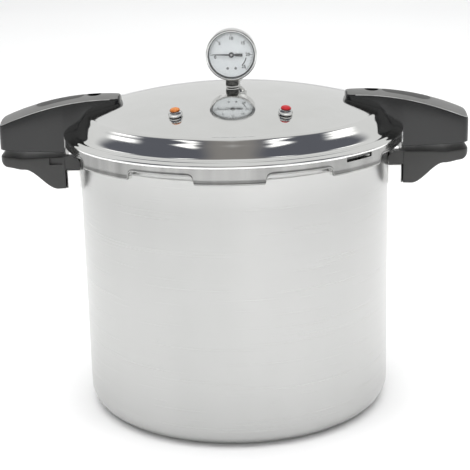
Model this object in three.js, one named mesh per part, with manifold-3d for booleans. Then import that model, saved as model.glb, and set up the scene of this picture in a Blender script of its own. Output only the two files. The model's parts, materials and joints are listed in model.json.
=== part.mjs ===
// Pressure canner with a bayonet lid, a dial gauge, a weight regulator and a canning rack.
// Millimetres, +Z up. The origin is on the pot's axis in the plane of its base.
// The handles point along X, and the gauge faces -Y.
import * as THREE from 'three';
import { mergeVertices } from 'three/addons/utils/BufferGeometryUtils.js';
import Module from 'manifold-3d';

const wasm = await Module();
wasm.setup();

// ---------------------------------------------------------------- driving dimensions
const GAP = 0.35;                 // clearance between touching pieces
const ROUND = 48;                 // sides of the large turned pieces
const SMALL = 16;                 // sides of the small turned pieces

const POT_R = 157.4;              // outside of the pot wall
const POT_WALL = 2.4;
const POT_BASE = 3;
const POT_CORNER = 20;
const RIM_R = 160.6;              // thickened band round the mouth
const RIM_LOW = 268.6;
const RIM_TOP = 279;
const LUG_R = 167.2;              // bayonet lugs on the pot
const LUG_LOW = 271;
const LUG_TOP = 274.6;
const LUG_COUNT = 8;
const LUG_DEG = 20.5;
const LUG_PITCH = 360 / LUG_COUNT;

const SKIRT_R = 170.8;            // outside of the lid's skirt
const SKIRT_IN = 168.2;
const SKIRT_LOW = 267.3;
const LID_WALL = 2.6;
const FLANGE_R = 171.9;
const LIP_R = 161.8;              // inner edge of the lid's inward tabs
const LIP_TOP = 270;
const NOTCH_TOP = 275.6;
const NOTCH_DEG = 22.8;
const SHOULDER_R = 160.9;         // foot of the steep polished wall
const SHOULDER_Z = 289.3;
const DOME_R = 148.7;             // edge of the dome
const DOME_Z = 305.9;
const DOME_RISE = 21.7;
const DOME_SPHERE = (DOME_R ** 2 + DOME_RISE ** 2) / (2 * DOME_RISE);
const DOME_TOP = DOME_Z + DOME_RISE;
const SLOT_DEG = 45;              // window in the skirt that lets the gasket vent
const SLOT_LONG = 35;
const SLOT_HIGH = 4.4;
const SLOT_Z = 280.6;

const HANDLE_OUT = 235.6;         // outer end of the handles
const HANDLE_TIP = 113.6;         // inner end of the lid handles
const CREST_X = 128;
const CREST_Z = 322.8;
const CREST_ARC = 250;            // radius of the lid handle's top line
const CROWN = 3.5;                // fall from the crest to the long edges
const BODY_HANDLE_TOP = 263;
const BODY_HANDLE_LOW = 229.4;    // foot of the body handles, beside the bracket
const HANDLE_SCREW_X = 140.4;
const SCREW_HOLE_R = 2.9;         // clearance holes of all handle screws

const BRACKET_OUT = 170.9;
const BRACKET_HALF = 21;
const BRACKET_LOW = 229.4;
const BRACKET_TOP = 248.4;
const BRACKET_WALL = 2.5;
const BRACKET_SCREW_Z = 239;

const GAUGE_Z = 361.3;            // centre of the dial
const GAUGE_BACK = 8;             // how far behind the pot's axis the gauge's own zero plane lies
const STEM_Y = -3;                // axis of the gauge's stem
const CASE_R = 24.8;
const CASE_WALL = 1.2;
const CASE_BACK = 1.6;            // depths in front of the gauge's zero plane
const CASE_FRONT = 20.6;
const BEZEL_R = 25.5;
const BEZEL_FRONT = 24.2;
const LENS_BACK = 21.7;
const LENS_FRONT = 23;
const DIAL_BACK = 18.2;
const DIAL_FRONT = 18.9;
const PLATE_THICK = 0.9;
const TUBE_R = 18.2;              // middle line of the Bourdon tube
const HEXAGON_R = 7.3;            // corners of the stem's hexagon
const GEAR_MODULE = 0.35;
const PINION_TEETH = 12;
const SECTOR_TEETH = 60;          // teeth of the full circle that the sector is cut from
const SECTOR_CUT_TEETH = 11;
const PIVOT_DEG = 215;            // where the sector's pivot stands, seen from the front

const VENT = [3.5, 19.5];         // x, y of the vent pipe and the regulator
const WEIGHT_R = 11.4;
const VALVE_X = 52;
const VALVE_Y = -92.5;

const RACK_R = 139;
const RACK_TOP = 19;

// ---------------------------------------------------------------- geometry helpers
const RAD = Math.PI / 180;
const domeZ = (r) => DOME_TOP - DOME_SPHERE + Math.sqrt(DOME_SPHERE ** 2 - r * r);

// Keeps positions only, merges them and drops the empty triangles at a lathe's poles.
function closed(geometry) {
  const bare = new THREE.BufferGeometry();
  bare.setAttribute('position', geometry.getAttribute('position'));
  bare.setIndex(geometry.getIndex());
  const merged = mergeVertices(bare, 1e-4);
  const index = merged.getIndex().array;
  const kept = [];
  for (let i = 0; i < index.length; i += 3) {
    const [a, b, c] = [index[i], index[i + 1], index[i + 2]];
    if (a !== b && b !== c && c !== a) kept.push(a, b, c);
  }
  merged.setIndex(kept);
  if (volume(merged) < 0) {
    for (let i = 0; i < kept.length; i += 3) [kept[i], kept[i + 1]] = [kept[i + 1], kept[i]];
    merged.setIndex(kept);
  }
  return merged;
}

function volume(geometry) {
  const p = geometry.getAttribute('position');
  const index = geometry.getIndex().array;
  const [a, b, c] = [new THREE.Vector3(), new THREE.Vector3(), new THREE.Vector3()];
  let total = 0;
  for (let i = 0; i < index.length; i += 3) {
    a.fromBufferAttribute(p, index[i]);
    b.fromBufferAttribute(p, index[i + 1]);
    c.fromBufferAttribute(p, index[i + 2]);
    total += a.dot(b.cross(c)) / 6;
  }
  return total;
}

function solid(geometry) {
  const g = closed(geometry);
  return new wasm.Manifold(new wasm.Mesh({
    numProp: 3,
    vertProperties: new Float32Array(g.getAttribute('position').array),
    triVerts: new Uint32Array(g.getIndex().array),
  }));
}

function geometryOf(body) {
  const mesh = body.getMesh();
  const geometry = new THREE.BufferGeometry();
  geometry.setAttribute('position', new THREE.BufferAttribute(new Float32Array(mesh.vertProperties), 3));
  geometry.setIndex(new THREE.BufferAttribute(new Uint32Array(mesh.triVerts), 1));
  return geometry;
}

const cut = (base, ...tools) => geometryOf(tools.reduce((left, t) => left.subtract(solid(t)), solid(base)));
const join = (base, ...more) => geometryOf(more.reduce((sum, t) => sum.add(solid(t)), solid(base)));

// Turns a profile of [radius, height] points about Z.
function turned(profile, sides = SMALL) {
  const points = profile.map(([r, z]) => new THREE.Vector2(r, z));
  return new THREE.LatheGeometry(points, sides).rotateX(Math.PI / 2);
}

const ring = (profile, sides) => turned([...profile, profile[0]], sides);

function rod(radius, low, high, sides = SMALL) {
  return turned([[0, low], [radius, low], [radius, high], [0, high]], sides);
}

function tube(inner, outer, low, high, sides = SMALL) {
  return ring([[inner, low], [outer, low], [outer, high], [inner, high]], sides);
}

function box(low, high) {
  const size = high.map((v, i) => v - low[i]);
  return new THREE.BoxGeometry(...size).translate(...low.map((v, i) => v + size[i] / 2));
}

// Extrudes an outline of [x, y] points from z = low to z = high.
function prism(outline, low, high, holes = []) {
  const shape = new THREE.Shape(outline.map(([x, y]) => new THREE.Vector2(x, y)));
  holes.forEach((hole) => shape.holes.push(new THREE.Path(hole.map(([x, y]) => new THREE.Vector2(x, y)))));
  return new THREE.ExtrudeGeometry(shape, { depth: high - low, bevelEnabled: false }).translate(0, 0, low);
}

// Stands a shape that was drawn in the XY plane up, so that its +Z runs towards -Y.
const facingFront = (geometry) => geometry.rotateX(Math.PI / 2);

const circle = (radius, sides, x = 0, y = 0) => Array.from({ length: sides }, (_, i) => {
  const a = (i / sides) * 2 * Math.PI;
  return [x + radius * Math.cos(a), y + radius * Math.sin(a)];
});

// Joins closed rings of equal point count into one skin, with a flat fan on both ends.
function loft(rings) {
  const count = rings[0].length;
  const positions = rings.flat(2);
  const index = [];
  for (let i = 0; i < rings.length - 1; i++) {
    for (let j = 0; j < count; j++) {
      const [a, b] = [i * count + j, i * count + (j + 1) % count];
      index.push(a, b, b + count, a, b + count, a + count);
    }
  }
  const last = (rings.length - 1) * count;
  for (let j = 1; j < count - 1; j++) {
    index.push(0, j + 1, j, last, last + j, last + j + 1);
  }
  const geometry = new THREE.BufferGeometry();
  geometry.setAttribute('position', new THREE.Float32BufferAttribute(positions, 3));
  geometry.setIndex(index);
  return geometry;
}

// Makers draw the right (+X) piece; the left one is its mirror image.
const flipX = new THREE.Matrix4().makeScale(-1, 1, 1);
const sided = (geometry, side) => (side < 0 ? geometry.applyMatrix4(flipX) : geometry);
const bothSides = [['right', 1], ['left', -1]];

// ---------------------------------------------------------------- assembly
const canner = new THREE.Group();

function add(parent, name, geometry, color, roughness, metalness) {
  const material = new THREE.MeshStandardMaterial({ color, roughness, metalness });
  const mesh = new THREE.Mesh(closed(geometry), material);
  mesh.name = name;
  parent.add(mesh);
  return mesh;
}

const aluminium = [0xd6d6d2, 0.35, 1];
const polished = [0xd0d0cc, 0.08, 1];
const blackPlastic = [0x1f1f1f, 0.25, 0];
const greyPlastic = [0x3a3a38, 0.5, 0];
const chrome = [0xdcdcdc, 0.1, 1];
const steel = [0x8a8a88, 0.35, 1];
const brass = [0xb08d4a, 0.35, 1];
const rubber = [0x2a2a2a, 0.8, 0];

// ---------------------------------------------------------------- pot
function potShell() {
  const inner = POT_R - POT_WALL;
  const cornerIn = POT_CORNER - POT_WALL;
  const arc = (r, cx, cz, from, to, steps) => Array.from({ length: steps + 1 }, (_, i) => {
    const a = (from + (to - from) * (i / steps)) * RAD;
    return [cx + r * Math.cos(a), cz + r * Math.sin(a)];
  });
  return turned([
    [0, 0],
    ...arc(POT_CORNER, POT_R - POT_CORNER, POT_CORNER, -90, 0, 4),
    [POT_R, RIM_LOW], [RIM_R, RIM_LOW + 2], [RIM_R, RIM_TOP - 0.8], [RIM_R - 0.8, RIM_TOP],
    [inner, RIM_TOP],
    ...arc(cornerIn, inner - cornerIn, POT_BASE + cornerIn, 0, -90, 3),
    [0, POT_BASE],
  ], ROUND);
}

function lugs() {
  const half = (LUG_DEG / 2) * RAD;
  return Array.from({ length: LUG_COUNT }, (_, k) => {
    const middle = k * LUG_PITCH * RAD - Math.PI / 2;
    const at = (r, t) => [r * Math.cos(middle + t), r * Math.sin(middle + t)];
    const outer = [-1, -0.4, 0.4, 1].map((t) => at(LUG_R, t * half));
    const inner = [1, -1].map((t) => at(RIM_R - 2, t * half));
    return prism([...outer, ...inner], LUG_LOW, LUG_TOP);
  });
}

add(canner, 'pot_body', join(potShell(), ...lugs()), ...aluminium);

// ---------------------------------------------------------------- body handles and brackets
const halfWidth = (x) => Math.min(28, 15 + (13 * (x - 121)) / 93);

// One cross-section of a handle, in the plane at x, counter-clockwise seen from +X.
function handleRing(x, half, top, crown, low, round) {
  const points = [];
  const corner = (cy, cz, from) => {
    for (let i = 0; i <= 1; i++) {
      const a = (from + 90 * i) * RAD;
      points.push([x, cy + round * Math.cos(a), cz + round * Math.sin(a)]);
    }
  };
  corner(half - round, top - crown - round, 0);
  [0.5, 0, -0.5].forEach((t) => {
    points.push([x, t * half, top - crown * t * t]);
  });
  corner(-half + round, top - crown - round, 90);
  corner(-half + round, low + round, 180);
  corner(half - round, low + round, 270);
  return points;
}

// How far an edge is pulled in at distance d from an end that is rounded with radius r.
const endRound = (r, d) => (d < r ? r - Math.sqrt(r * r - (r - d) ** 2) : 0);

function bodyHandleBlank() {
  const stations = [235.4, 233.6, 228, 220, 211, 203, 196, 189, 182, 171.6];
  const underside = (x) => {
    const t = THREE.MathUtils.smoothstep(x, 179, 212);
    return BODY_HANDLE_LOW + 21.6 * t + 3 * THREE.MathUtils.smoothstep(x, 212, 230);
  };
  const rings = stations.map((x) => {
    const d = HANDLE_OUT - x;
    const top = BODY_HANDLE_TOP + 0.15 * Math.max(0, x - 214) - endRound(1.5, d);
    return handleRing(x, halfWidth(x) - endRound(9, d), top, 0.6, underside(x) + endRound(8, d), 1.6);
  });
  return loft(rings.reverse());
}

// The part that leans over the bracket towards the pot, under the lid's skirt.
function bodyHandleLobe() {
  const outline = [[173, BODY_HANDLE_TOP - 0.6], [165.5, BODY_HANDLE_TOP - 1]];
  for (let i = 1; i <= 4; i++) {
    const a = (90 - 22.5 * i) * RAD;
    outline.push([165.5 - 12 * Math.cos(a), 249 + 13 * Math.sin(a)]);
  }
  outline.push([173, 249]);
  const half = BRACKET_HALF + 0.4;
  return prism(outline, -half, half).rotateX(Math.PI / 2);
}

// Clearance hole for the body handle's screw, from x = 160 outwards.
function bracketHole(far) {
  return rod(SCREW_HOLE_R, -far, -160).rotateY(-Math.PI / 2).translate(0, 0, BRACKET_SCREW_Z);
}

// Only the left handle has a square pocket in its front face.
function bodyHandle(side) {
  const potRoom = turned([[0, 200], [POT_R + GAP, 200], [POT_R + GAP, RIM_LOW - 1], [RIM_R + GAP, RIM_LOW],
    [RIM_R + GAP, 300], [0, 300]], ROUND);
  const parts = [potRoom, bracketHole(188)];
  if (side < 0) parts.push(box([173.7, -40, 255], [186.5, -20.5, 261.2]));
  const geometry = cut(join(bodyHandleBlank(), bodyHandleLobe()), ...parts);
  return sided(geometry, side);
}

// A channel bent from strip, open towards the pot.
function bracket(side) {
  const [o, h, w] = [BRACKET_OUT, BRACKET_HALF, BRACKET_WALL];
  const outline = [[150, -h], [o, -h], [o, h], [150, h], [150, h - w], [o - w, h - w], [o - w, w - h],
    [150, w - h]];
  const channel = prism(outline, BRACKET_LOW, BRACKET_TOP);
  const geometry = cut(channel, rod(POT_R + GAP, 200, 260, ROUND), bracketHole(175));
  return sided(geometry, side);
}

function bodyScrew(side) {
  const profile = [[0, 164.2], [3.6, 164.2], [5, 165.4], [5, 166.9], [2.4, 166.9], [2.4, 185], [0, 186.6]];
  const geometry = turned(profile, 16).rotateY(Math.PI / 2).translate(0, 0, BRACKET_SCREW_Z);
  return sided(geometry, side);
}

function bodyWasher(side) {
  const geometry = tube(2.8, 5.6, 167.2, 168.1, 16).rotateY(Math.PI / 2).translate(0, 0, BRACKET_SCREW_Z);
  return sided(geometry, side);
}

for (const [name, side] of bothSides) {
  add(canner, `body_handle_${name}`, bodyHandle(side), ...greyPlastic);
  add(canner, `handle_bracket_${name}`, bracket(side), ...aluminium);
  add(canner, `body_handle_screw_${name}`, bodyScrew(side), ...steel);
  add(canner, `body_handle_washer_${name}`, bodyWasher(side), ...steel);
}

// ---------------------------------------------------------------- canning rack
function rack() {
  const shell = turned([[0, RACK_TOP - 1.4], [RACK_R - 4, RACK_TOP - 1.4], [RACK_R - 1.4, RACK_TOP - 4],
    [RACK_R - 1.4, 3.6], [RACK_R, 3.6], [RACK_R, RACK_TOP - 3], [RACK_R - 3, RACK_TOP], [0, RACK_TOP]], 40);
  const holes = [];
  [[0, 1], [46, 6], [96, 12]].forEach(([r, n]) => circle(r, n).forEach(([x, y]) => {
    holes.push(rod(9, 10, 30, 10).translate(x, y, 0));
  }));
  return cut(shell, ...holes);
}

add(canner, 'canning_rack', rack(), ...aluminium);

// ---------------------------------------------------------------- gasket
add(canner, 'sealing_gasket', ring([[159.4, 279.4], [167.6, 279.4], [167.6, 282.6],
  [165, 282.9], [160.4, 282.9]], ROUND), ...rubber);

// ---------------------------------------------------------------- lid
const outerProfile = (() => {
  const dome = [0, 50, 100, 135].map((r) => [r, domeZ(r)]);
  return [
    ...dome, [147.2, DOME_Z + 0.7], [149.6, DOME_Z - 0.9], [151.6, DOME_Z - 3.2],
    [159.6, SHOULDER_Z + 1.8], [SHOULDER_R, SHOULDER_Z], [163, 288.4], [165.4, 288.7], [167.4, 287.6],
    [170.4, 286.4], [FLANGE_R, 285.2], [FLANGE_R, 284], [SKIRT_R, 283], [SKIRT_R, SKIRT_LOW],
  ];
})();

function lidShell() {
  const inside = [[SKIRT_IN, LIP_TOP], [SKIRT_IN, 283.3], [159, 283.3], [157.2, SHOULDER_Z],
    [149.6, DOME_Z - 4.4], [147, DOME_Z - 2.6]];
  const under = [135, 100, 50, 0].map((r) => [r, domeZ(r) - LID_WALL]);
  return turned([...outerProfile, [LIP_R, SKIRT_LOW], [LIP_R, LIP_TOP], ...inside, ...under], ROUND);
}

// A notch between two tabs, with its upper corners cut off.
function skirtNotch(k) {
  const half = SKIRT_R * Math.sin((NOTCH_DEG / 2) * RAD);
  const outline = [[-half, 260], [half, 260], [half, SKIRT_LOW + 0.6], [half - 1.6, NOTCH_TOP - 4],
    [half - 5.2, NOTCH_TOP], [5.2 - half, NOTCH_TOP], [1.6 - half, NOTCH_TOP - 4], [-half, SKIRT_LOW + 0.6]];
  const wedge = prism(outline, 150, 185).rotateX(Math.PI / 2);
  return wedge.rotateZ((k + 0.5) * LUG_PITCH * RAD);
}

function gasketWindow() {
  const [l, h] = [SLOT_LONG / 2, SLOT_HIGH / 2];
  const outline = [[-l, 1 - h], [1 - l, -h], [l - 1, -h], [l, 1 - h], [l, h - 1], [l - 1, h], [1 - l, h],
    [-l, h - 1]];
  const upright = prism(outline, SKIRT_IN - 3, 180).rotateX(Math.PI / 2);
  return upright.translate(0, 0, SLOT_Z).rotateZ(SLOT_DEG * RAD);
}

// Moves a fitting that stands on z = 0 onto the dome, square to its surface.
function ontoDome(geometry, x, y) {
  const r = Math.hypot(x, y);
  const tilt = Math.asin(r / DOME_SPHERE);
  return geometry.rotateY(tilt).rotateZ(Math.atan2(y, x)).translate(x, y, domeZ(r));
}

function lid() {
  const notches = Array.from({ length: LUG_COUNT }, (_, k) => skirtNotch(k));
  const holes = [
    rod(5.2, 300, 340, 16).translate(0, STEM_Y, 0),
    rod(3.5, 300, 340, 16).translate(...VENT, 0),
    rod(SCREW_HOLE_R, 290, 330, 12).translate(HANDLE_SCREW_X, 0, 0),
    rod(SCREW_HOLE_R, 290, 330, 12).translate(-HANDLE_SCREW_X, 0, 0),
    ontoDome(rod(4.1, -12, 12, 16), VALVE_X, VALVE_Y),
    ontoDome(rod(4.1, -12, 12, 16), -VALVE_X, VALVE_Y),
  ];
  return cut(lidShell(), ...notches, gasketWindow(), ...holes);
}

add(canner, 'lid_shell', lid(), ...polished);

// ---------------------------------------------------------------- lid handles
const crestZ = (x) => CREST_Z - (x - CREST_X) ** 2 / (2 * CREST_ARC);

function lidHandleBlank() {
  const stations = [113.7, 115.4, 119.6, 135, 152, 169, 186, 203, 216, 226, 232.6, 235.4];
  return loft(stations.map((x) => {
    const [inner, outer] = [x - HANDLE_TIP, HANDLE_OUT - x];
    const half = halfWidth(x) - endRound(6, inner) - endRound(8, outer);
    const top = crestZ(x) - endRound(2.5, inner) - endRound(2.2, outer);
    return handleRing(x, half, top, CROWN, SKIRT_LOW + 0.07 * Math.max(0, x - 171), 1.6);
  }));
}

function lidHandle(side) {
  const lidTop = outerProfile.slice(0, -3).reverse();
  const above = lidTop.map(([r, z]) => [r > 0 ? r + GAP : 0, z + GAP]);
  const envelope = [[0, 200], [FLANGE_R + GAP, 200], ...above];
  const x = HANDLE_SCREW_X;
  const geometry = cut(
    lidHandleBlank(),
    turned(envelope, ROUND),
    rod(SCREW_HOLE_R, 290, 330, 12).translate(x, 0, 0),
    rod(7, 314, 330, 24).translate(x, 0, 0),
    inlayShape(GAP, 2.4),
  );
  return sided(geometry, side);
}

// The tear-shaped panel let into the handle's top, wide outside and narrow towards the screw.
function inlayShape(grow, deep) {
  const stations = [151, 153, 168, 186, 195, 199.2];
  const half = (x) => {
    const wide = 8 + (6 * (x - 151)) / 40;
    return Math.min(14, wide) * Math.sqrt(Math.max(0.02, 1 - Math.max(0, (x - 189) / 10.6) ** 2))
      * Math.sqrt(Math.min(1, 0.3 + (x - 151) / 4));
  };
  return loft(stations.map((x) => {
    const [h, z] = [half(x) + grow, crestZ(x)];
    const slope = CROWN / halfWidth(x) ** 2;
    const top = [1, 0.5, 0, -0.5, -1].map((t) => [x, t * h, z - slope * (t * h) ** 2 - 0.3 + grow * 4]);
    return [...top, [x, -h, z - deep - 1.2], [x, h, z - deep - 1.2]];
  }));
}

const inlay = (side) => sided(inlayShape(0, 1.6), side);

function lidScrew(side) {
  const profile = [[0, 296.5], [2.4, 297.3], [2.4, 314.4], [5.4, 314.4], [5.4, 316], [3.8, 317.6],
    [0, 317.9]];
  const slots = [box([-4, -0.6, 316.6], [4, 0.6, 319]), box([-0.6, -4, 316.6], [0.6, 4, 319])];
  return cut(turned(profile, 16), ...slots).translate(side * HANDLE_SCREW_X, 0, 0);
}

function lidNut(side) {
  const underDome = domeZ(HANDLE_SCREW_X + 7) - LID_WALL - 0.4;
  const nut = prism(circle(5.2, 6), underDome - 5, underDome, [circle(2.75, 16)]);
  return nut.translate(side * HANDLE_SCREW_X, 0, 0);
}

for (const [name, side] of bothSides) {
  add(canner, `lid_handle_${name}`, lidHandle(side), ...blackPlastic);
  add(canner, `handle_inlay_${name}`, inlay(side), ...greyPlastic);
  add(canner, `lid_handle_screw_${name}`, lidScrew(side), ...steel);
  add(canner, `lid_handle_nut_${name}`, lidNut(side), ...steel);
}

// ---------------------------------------------------------------- gauge
// Everything in this group is drawn with +Z towards the reader and turned to face -Y.
function gaugeCase() {
  const inner = CASE_R - CASE_WALL;
  const shell = turned([[0, CASE_BACK], [CASE_R - 2.8, CASE_BACK], [CASE_R, CASE_BACK + 2],
    [CASE_R, CASE_FRONT], [inner, CASE_FRONT], [inner, CASE_BACK + 2.4], [inner - 2, CASE_BACK + CASE_WALL],
    [0, CASE_BACK + CASE_WALL]], 28);
  const neckHole = rod(5.9, -30, -15, 20).translate(0, STEM_Y - GAUGE_BACK, 0);
  return cut(facingFront(shell), neckHole);
}

// A ring with an L section that caps the front edge of the case.
function gaugeBezel() {
  const inner = CASE_R + GAP;
  return facingFront(ring([[inner, DIAL_BACK + 0.2], [BEZEL_R, DIAL_BACK + 0.2], [BEZEL_R, BEZEL_FRONT - 1],
    [BEZEL_R - 0.7, BEZEL_FRONT], [BEZEL_R - 1.9, BEZEL_FRONT], [BEZEL_R - 2.2, BEZEL_FRONT - 0.8],
    [BEZEL_R - 2.2, CASE_FRONT + 0.4], [inner, CASE_FRONT + 0.4]], 28));
}

const gaugeLens = () => facingFront(rod(BEZEL_R - 2.6, LENS_BACK, LENS_FRONT, 28));
const gaugeDial = () => facingFront(tube(1.3, BEZEL_R - 2.4, DIAL_BACK, DIAL_FRONT, 28));

// Involute outline of a gear; teeth are numbered from the +X axis.
function gearOutline(teeth, first, count) {
  const pitchR = (GEAR_MODULE * teeth) / 2;
  const baseR = pitchR * Math.cos(20 * RAD);
  const [tipR, rootR] = [pitchR + 0.85 * GEAR_MODULE, pitchR - 1.2 * GEAR_MODULE];
  const involute = (r) => Math.sqrt(Math.max(0, (r / baseR) ** 2 - 1)) - Math.acos(Math.min(1, baseR / r));
  const halfTooth = (r) => (0.41 * Math.PI) / teeth + involute(pitchR) - involute(r);
  const flank = [rootR, pitchR, tipR];
  const outline = [];
  for (let k = first; k < first + count; k++) {
    const middle = (k * 2 * Math.PI) / teeth;
    const at = (r, t) => outline.push([r * Math.cos(middle + t), r * Math.sin(middle + t)]);
    flank.forEach((r) => at(r, -halfTooth(r)));
    [...flank].reverse().forEach((r) => at(r, halfTooth(r)));
  }
  return outline;
}

const CENTRES = (GEAR_MODULE * (PINION_TEETH + SECTOR_TEETH)) / 2;
const pivot = [CENTRES * Math.cos(PIVOT_DEG * RAD), CENTRES * Math.sin(PIVOT_DEG * RAD)];

function sectorGear() {
  const teeth = gearOutline(SECTOR_TEETH, 2 - SECTOR_CUT_TEETH, SECTOR_CUT_TEETH);
  const tail = [[4.5, 2.2], [0, 2.4], [-4.8, 1.6], [-5.6, 0], [-4.8, -1.6], [0, -2.4], [1.6, -3.6]];
  const plate = prism([...teeth, ...tail], 14.6, 15.6);
  const shaft = rod(0.7, 12.4, 18, 8);
  const toPinion = (PIVOT_DEG - 180) * RAD;
  return facingFront(join(plate, shaft).rotateZ(toPinion).translate(...pivot, 0));
}

function pinion() {
  const half = Math.PI / PINION_TEETH;
  const outline = gearOutline(PINION_TEETH, 0, PINION_TEETH);
  return facingFront(prism(outline, 14.4, 15.8, [circle(1.05, 8)]).rotateZ(PIVOT_DEG * RAD + half));
}

// Pointer at zero, its fine end towards -X, with a boss on the arbor.
function pointer() {
  const blade = [[-18.4, 0.3], [-18.8, 0], [-18.4, -0.3], [-2, -0.75], [4, -0.9], [11, -1.35], [11, 1.35],
    [4, 0.9], [-2, 0.75]];
  const hub = rod(2.7, 19.5, 20.9, 16);
  const arbor = rod(0.75, 12.2, 20, 8);
  return facingFront(join(prism(blade, 19.8, 20.5), hub, arbor).rotateZ(-1.5 * RAD));
}

// One of the two plates that carry the arbors, with its bearing holes.
function movementPlate(low) {
  const outline = [[-15.5, -11.5], [-5, -11.8], [6, -6], [7.5, 5], [1, 8], [-9, 6], [-15.5, -2]];
  return prism(outline, low, low + PLATE_THICK, [circle(1.1, 8), circle(1.05, 8, ...pivot)]);
}

const frontPlate = () => facingFront(movementPlate(16.4));

// The back plate carries the two posts that hold the plates apart.
function backPlate() {
  const posts = [[5.2, -3.6], [-2, 5.4]].map(([x, y]) => rod(0.9, 13.6, 16.1, 10).translate(x, y, 0));
  return facingFront(join(movementPlate(12.8), ...posts));
}

function bourdonTube() {
  const from = -66 * RAD;
  const sweep = 260 * RAD;
  class Coil extends THREE.Curve {
    getPoint(t, target = new THREE.Vector3()) {
      const a = from + sweep * t;
      return target.set(TUBE_R * Math.cos(a), TUBE_R * Math.sin(a), 0);
    }
  }
  const section = new THREE.Shape(circle(1, 8).map(([x, y]) => new THREE.Vector2(3 * x, 1.2 * y)));
  const options = { steps: 22, bevelEnabled: false, extrudePath: new Coil() };
  return facingFront(new THREE.ExtrudeGeometry(section, options).translate(0, 0, 8.4));
}

// The flat bar between the Bourdon tube's free end and the sector's tail.
function linkBar() {
  const tail = [pivot[0] - 4.3, pivot[1] - 2.6];
  const end = [-17.6, -4.8];
  const along = Math.atan2(end[1] - tail[1], end[0] - tail[0]);
  const [nx, ny] = [-0.7 * Math.sin(along), 0.7 * Math.cos(along)];
  return facingFront(prism([[tail[0] + nx, tail[1] + ny], [tail[0] - nx, tail[1] - ny],
    [end[0] - nx, end[1] - ny], [end[0] + nx, end[1] + ny]], 11.8, 12.2));
}

// Hexagonal socket with the threaded shank that goes through the lid.
function gaugeSocket() {
  const base = domeZ(STEM_Y);
  const underCase = GAUGE_Z - CASE_R - GAP;
  const hex = prism(circle(HEXAGON_R, 6).map(([x, y]) => [y, x]), base + 2.2, underCase);
  const shank = rod(4.8, base - 14, base + 3, 12);
  const neck = rod(5.4, underCase - 1, GAUGE_Z - 17.6, 12);
  const block = box([-4, -2.6, GAUGE_Z - 20.6], [5, 2.6, GAUGE_Z - 14.6]);
  return join(hex, shank, neck, block).translate(0, STEM_Y, 0);
}

function gaugeWasher() {
  const base = domeZ(STEM_Y);
  return tube(5.2, 6.7, base + 0.4, base + 1.9, 16).translate(0, STEM_Y, 0);
}

function gaugeNut() {
  const top = domeZ(STEM_Y) - LID_WALL - 1.1;
  return prism(circle(8.4, 6), top - 5, top, [circle(5.15, 12)]).translate(0, STEM_Y, 0);
}

const gauge = new THREE.Group();
gauge.position.set(0, GAUGE_BACK, GAUGE_Z);
canner.add(gauge);
add(gauge, 'gauge_case', gaugeCase(), ...chrome);
add(gauge, 'gauge_bezel', gaugeBezel(), ...chrome);
add(gauge, 'gauge_lens', gaugeLens(), 0xf4f8f8, 0.02, 0);
add(gauge, 'gauge_dial', gaugeDial(), 0xf0f2f2, 0.6, 0);
add(gauge, 'gauge_pointer', pointer(), 0x151515, 0.5, 0);
add(gauge, 'pointer_pinion', pinion(), ...brass);
add(gauge, 'sector_gear', sectorGear(), ...brass);
add(gauge, 'movement_front_plate', frontPlate(), ...brass);
add(gauge, 'movement_back_plate', backPlate(), ...brass);
add(gauge, 'bourdon_tube', bourdonTube(), ...brass);
add(gauge, 'bourdon_link', linkBar(), ...brass);
add(canner, 'gauge_socket', gaugeSocket(), ...steel);
add(canner, 'gauge_washer', gaugeWasher(), ...chrome);
add(canner, 'gauge_nut', gaugeNut(), ...steel);

// ---------------------------------------------------------------- vent pipe and regulator
const ventBase = domeZ(Math.hypot(...VENT));

function ventPipe() {
  return ring([[1.3, ventBase - 12], [3.1, ventBase - 12], [3.1, ventBase + 0.4], [4.3, ventBase + 0.4],
    [4.3, ventBase + 1.8], [3, ventBase + 2.2], [3, ventBase + 15], [1.3, ventBase + 17]], 16);
}

function ventNut() {
  const top = ventBase - LID_WALL - 1.1;
  return prism(circle(6, 6), top - 4, top, [circle(3.45, 16)]);
}

function regulatorWeight() {
  const z = (h) => ventBase + h;
  return turned([[0, z(17.4)], [1.2, z(17.4)], [3.5, z(15.1)], [3.5, z(2.6)], [4.8, z(2.6)],
    [WEIGHT_R - 1, z(9.4)], [WEIGHT_R, z(10.6)], [WEIGHT_R, z(33)], [WEIGHT_R - 1, z(34)], [3, z(34)],
    [3, z(37)], [0, z(37)]], 20);
}

function regulatorCap() {
  const z = (h) => ventBase + h;
  return turned([[0, z(37.4)], [3.4, z(37.4)], [3.4, z(34.4)], [8.6, z(34.4)], [9.2, z(35.6)], [8.6, z(42)],
    [6.6, z(44)], [0, z(44.4)]], 20);
}

const venting = new THREE.Group();
venting.position.set(...VENT, 0);
canner.add(venting);
add(venting, 'vent_pipe', ventPipe(), ...chrome);
add(venting, 'vent_pipe_nut', ventNut(), ...steel);
add(venting, 'regulator_weight', regulatorWeight(), ...chrome);
add(venting, 'regulator_cap', regulatorCap(), ...blackPlastic);

// ---------------------------------------------------------------- plug and pressure indicator
// Heights are above the dome's surface.
function collar(bore) {
  return ring([[bore, 0.45], [6.9, 0.45], [6.95, 1.8], [6.4, 3.9], [5.3, 5.6], [bore, 5.6]], 16);
}

// The round head that the plug and the pin both have, just above the collar.
const head = [[4.9, 5.95], [4.7, 6.9], [3.6, 7.9], [1.8, 8.3], [0, 8.4]];

function overpressurePlug() {
  return turned([[0, -8.2], [3.2, -7.6], [5.4, -3.4], [3.3, -3.2], [3.3, 5.95], ...head], 16);
}

function indicatorPin() {
  return turned([[0, -11.2], [4.8, -11.2], [4.8, -9.8], [2.6, -9.6], [2.6, 5.95], ...head], 16);
}

const indicatorSeal = () => tube(2.9, 5.2, -3.9, -3.1, 16);

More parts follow.
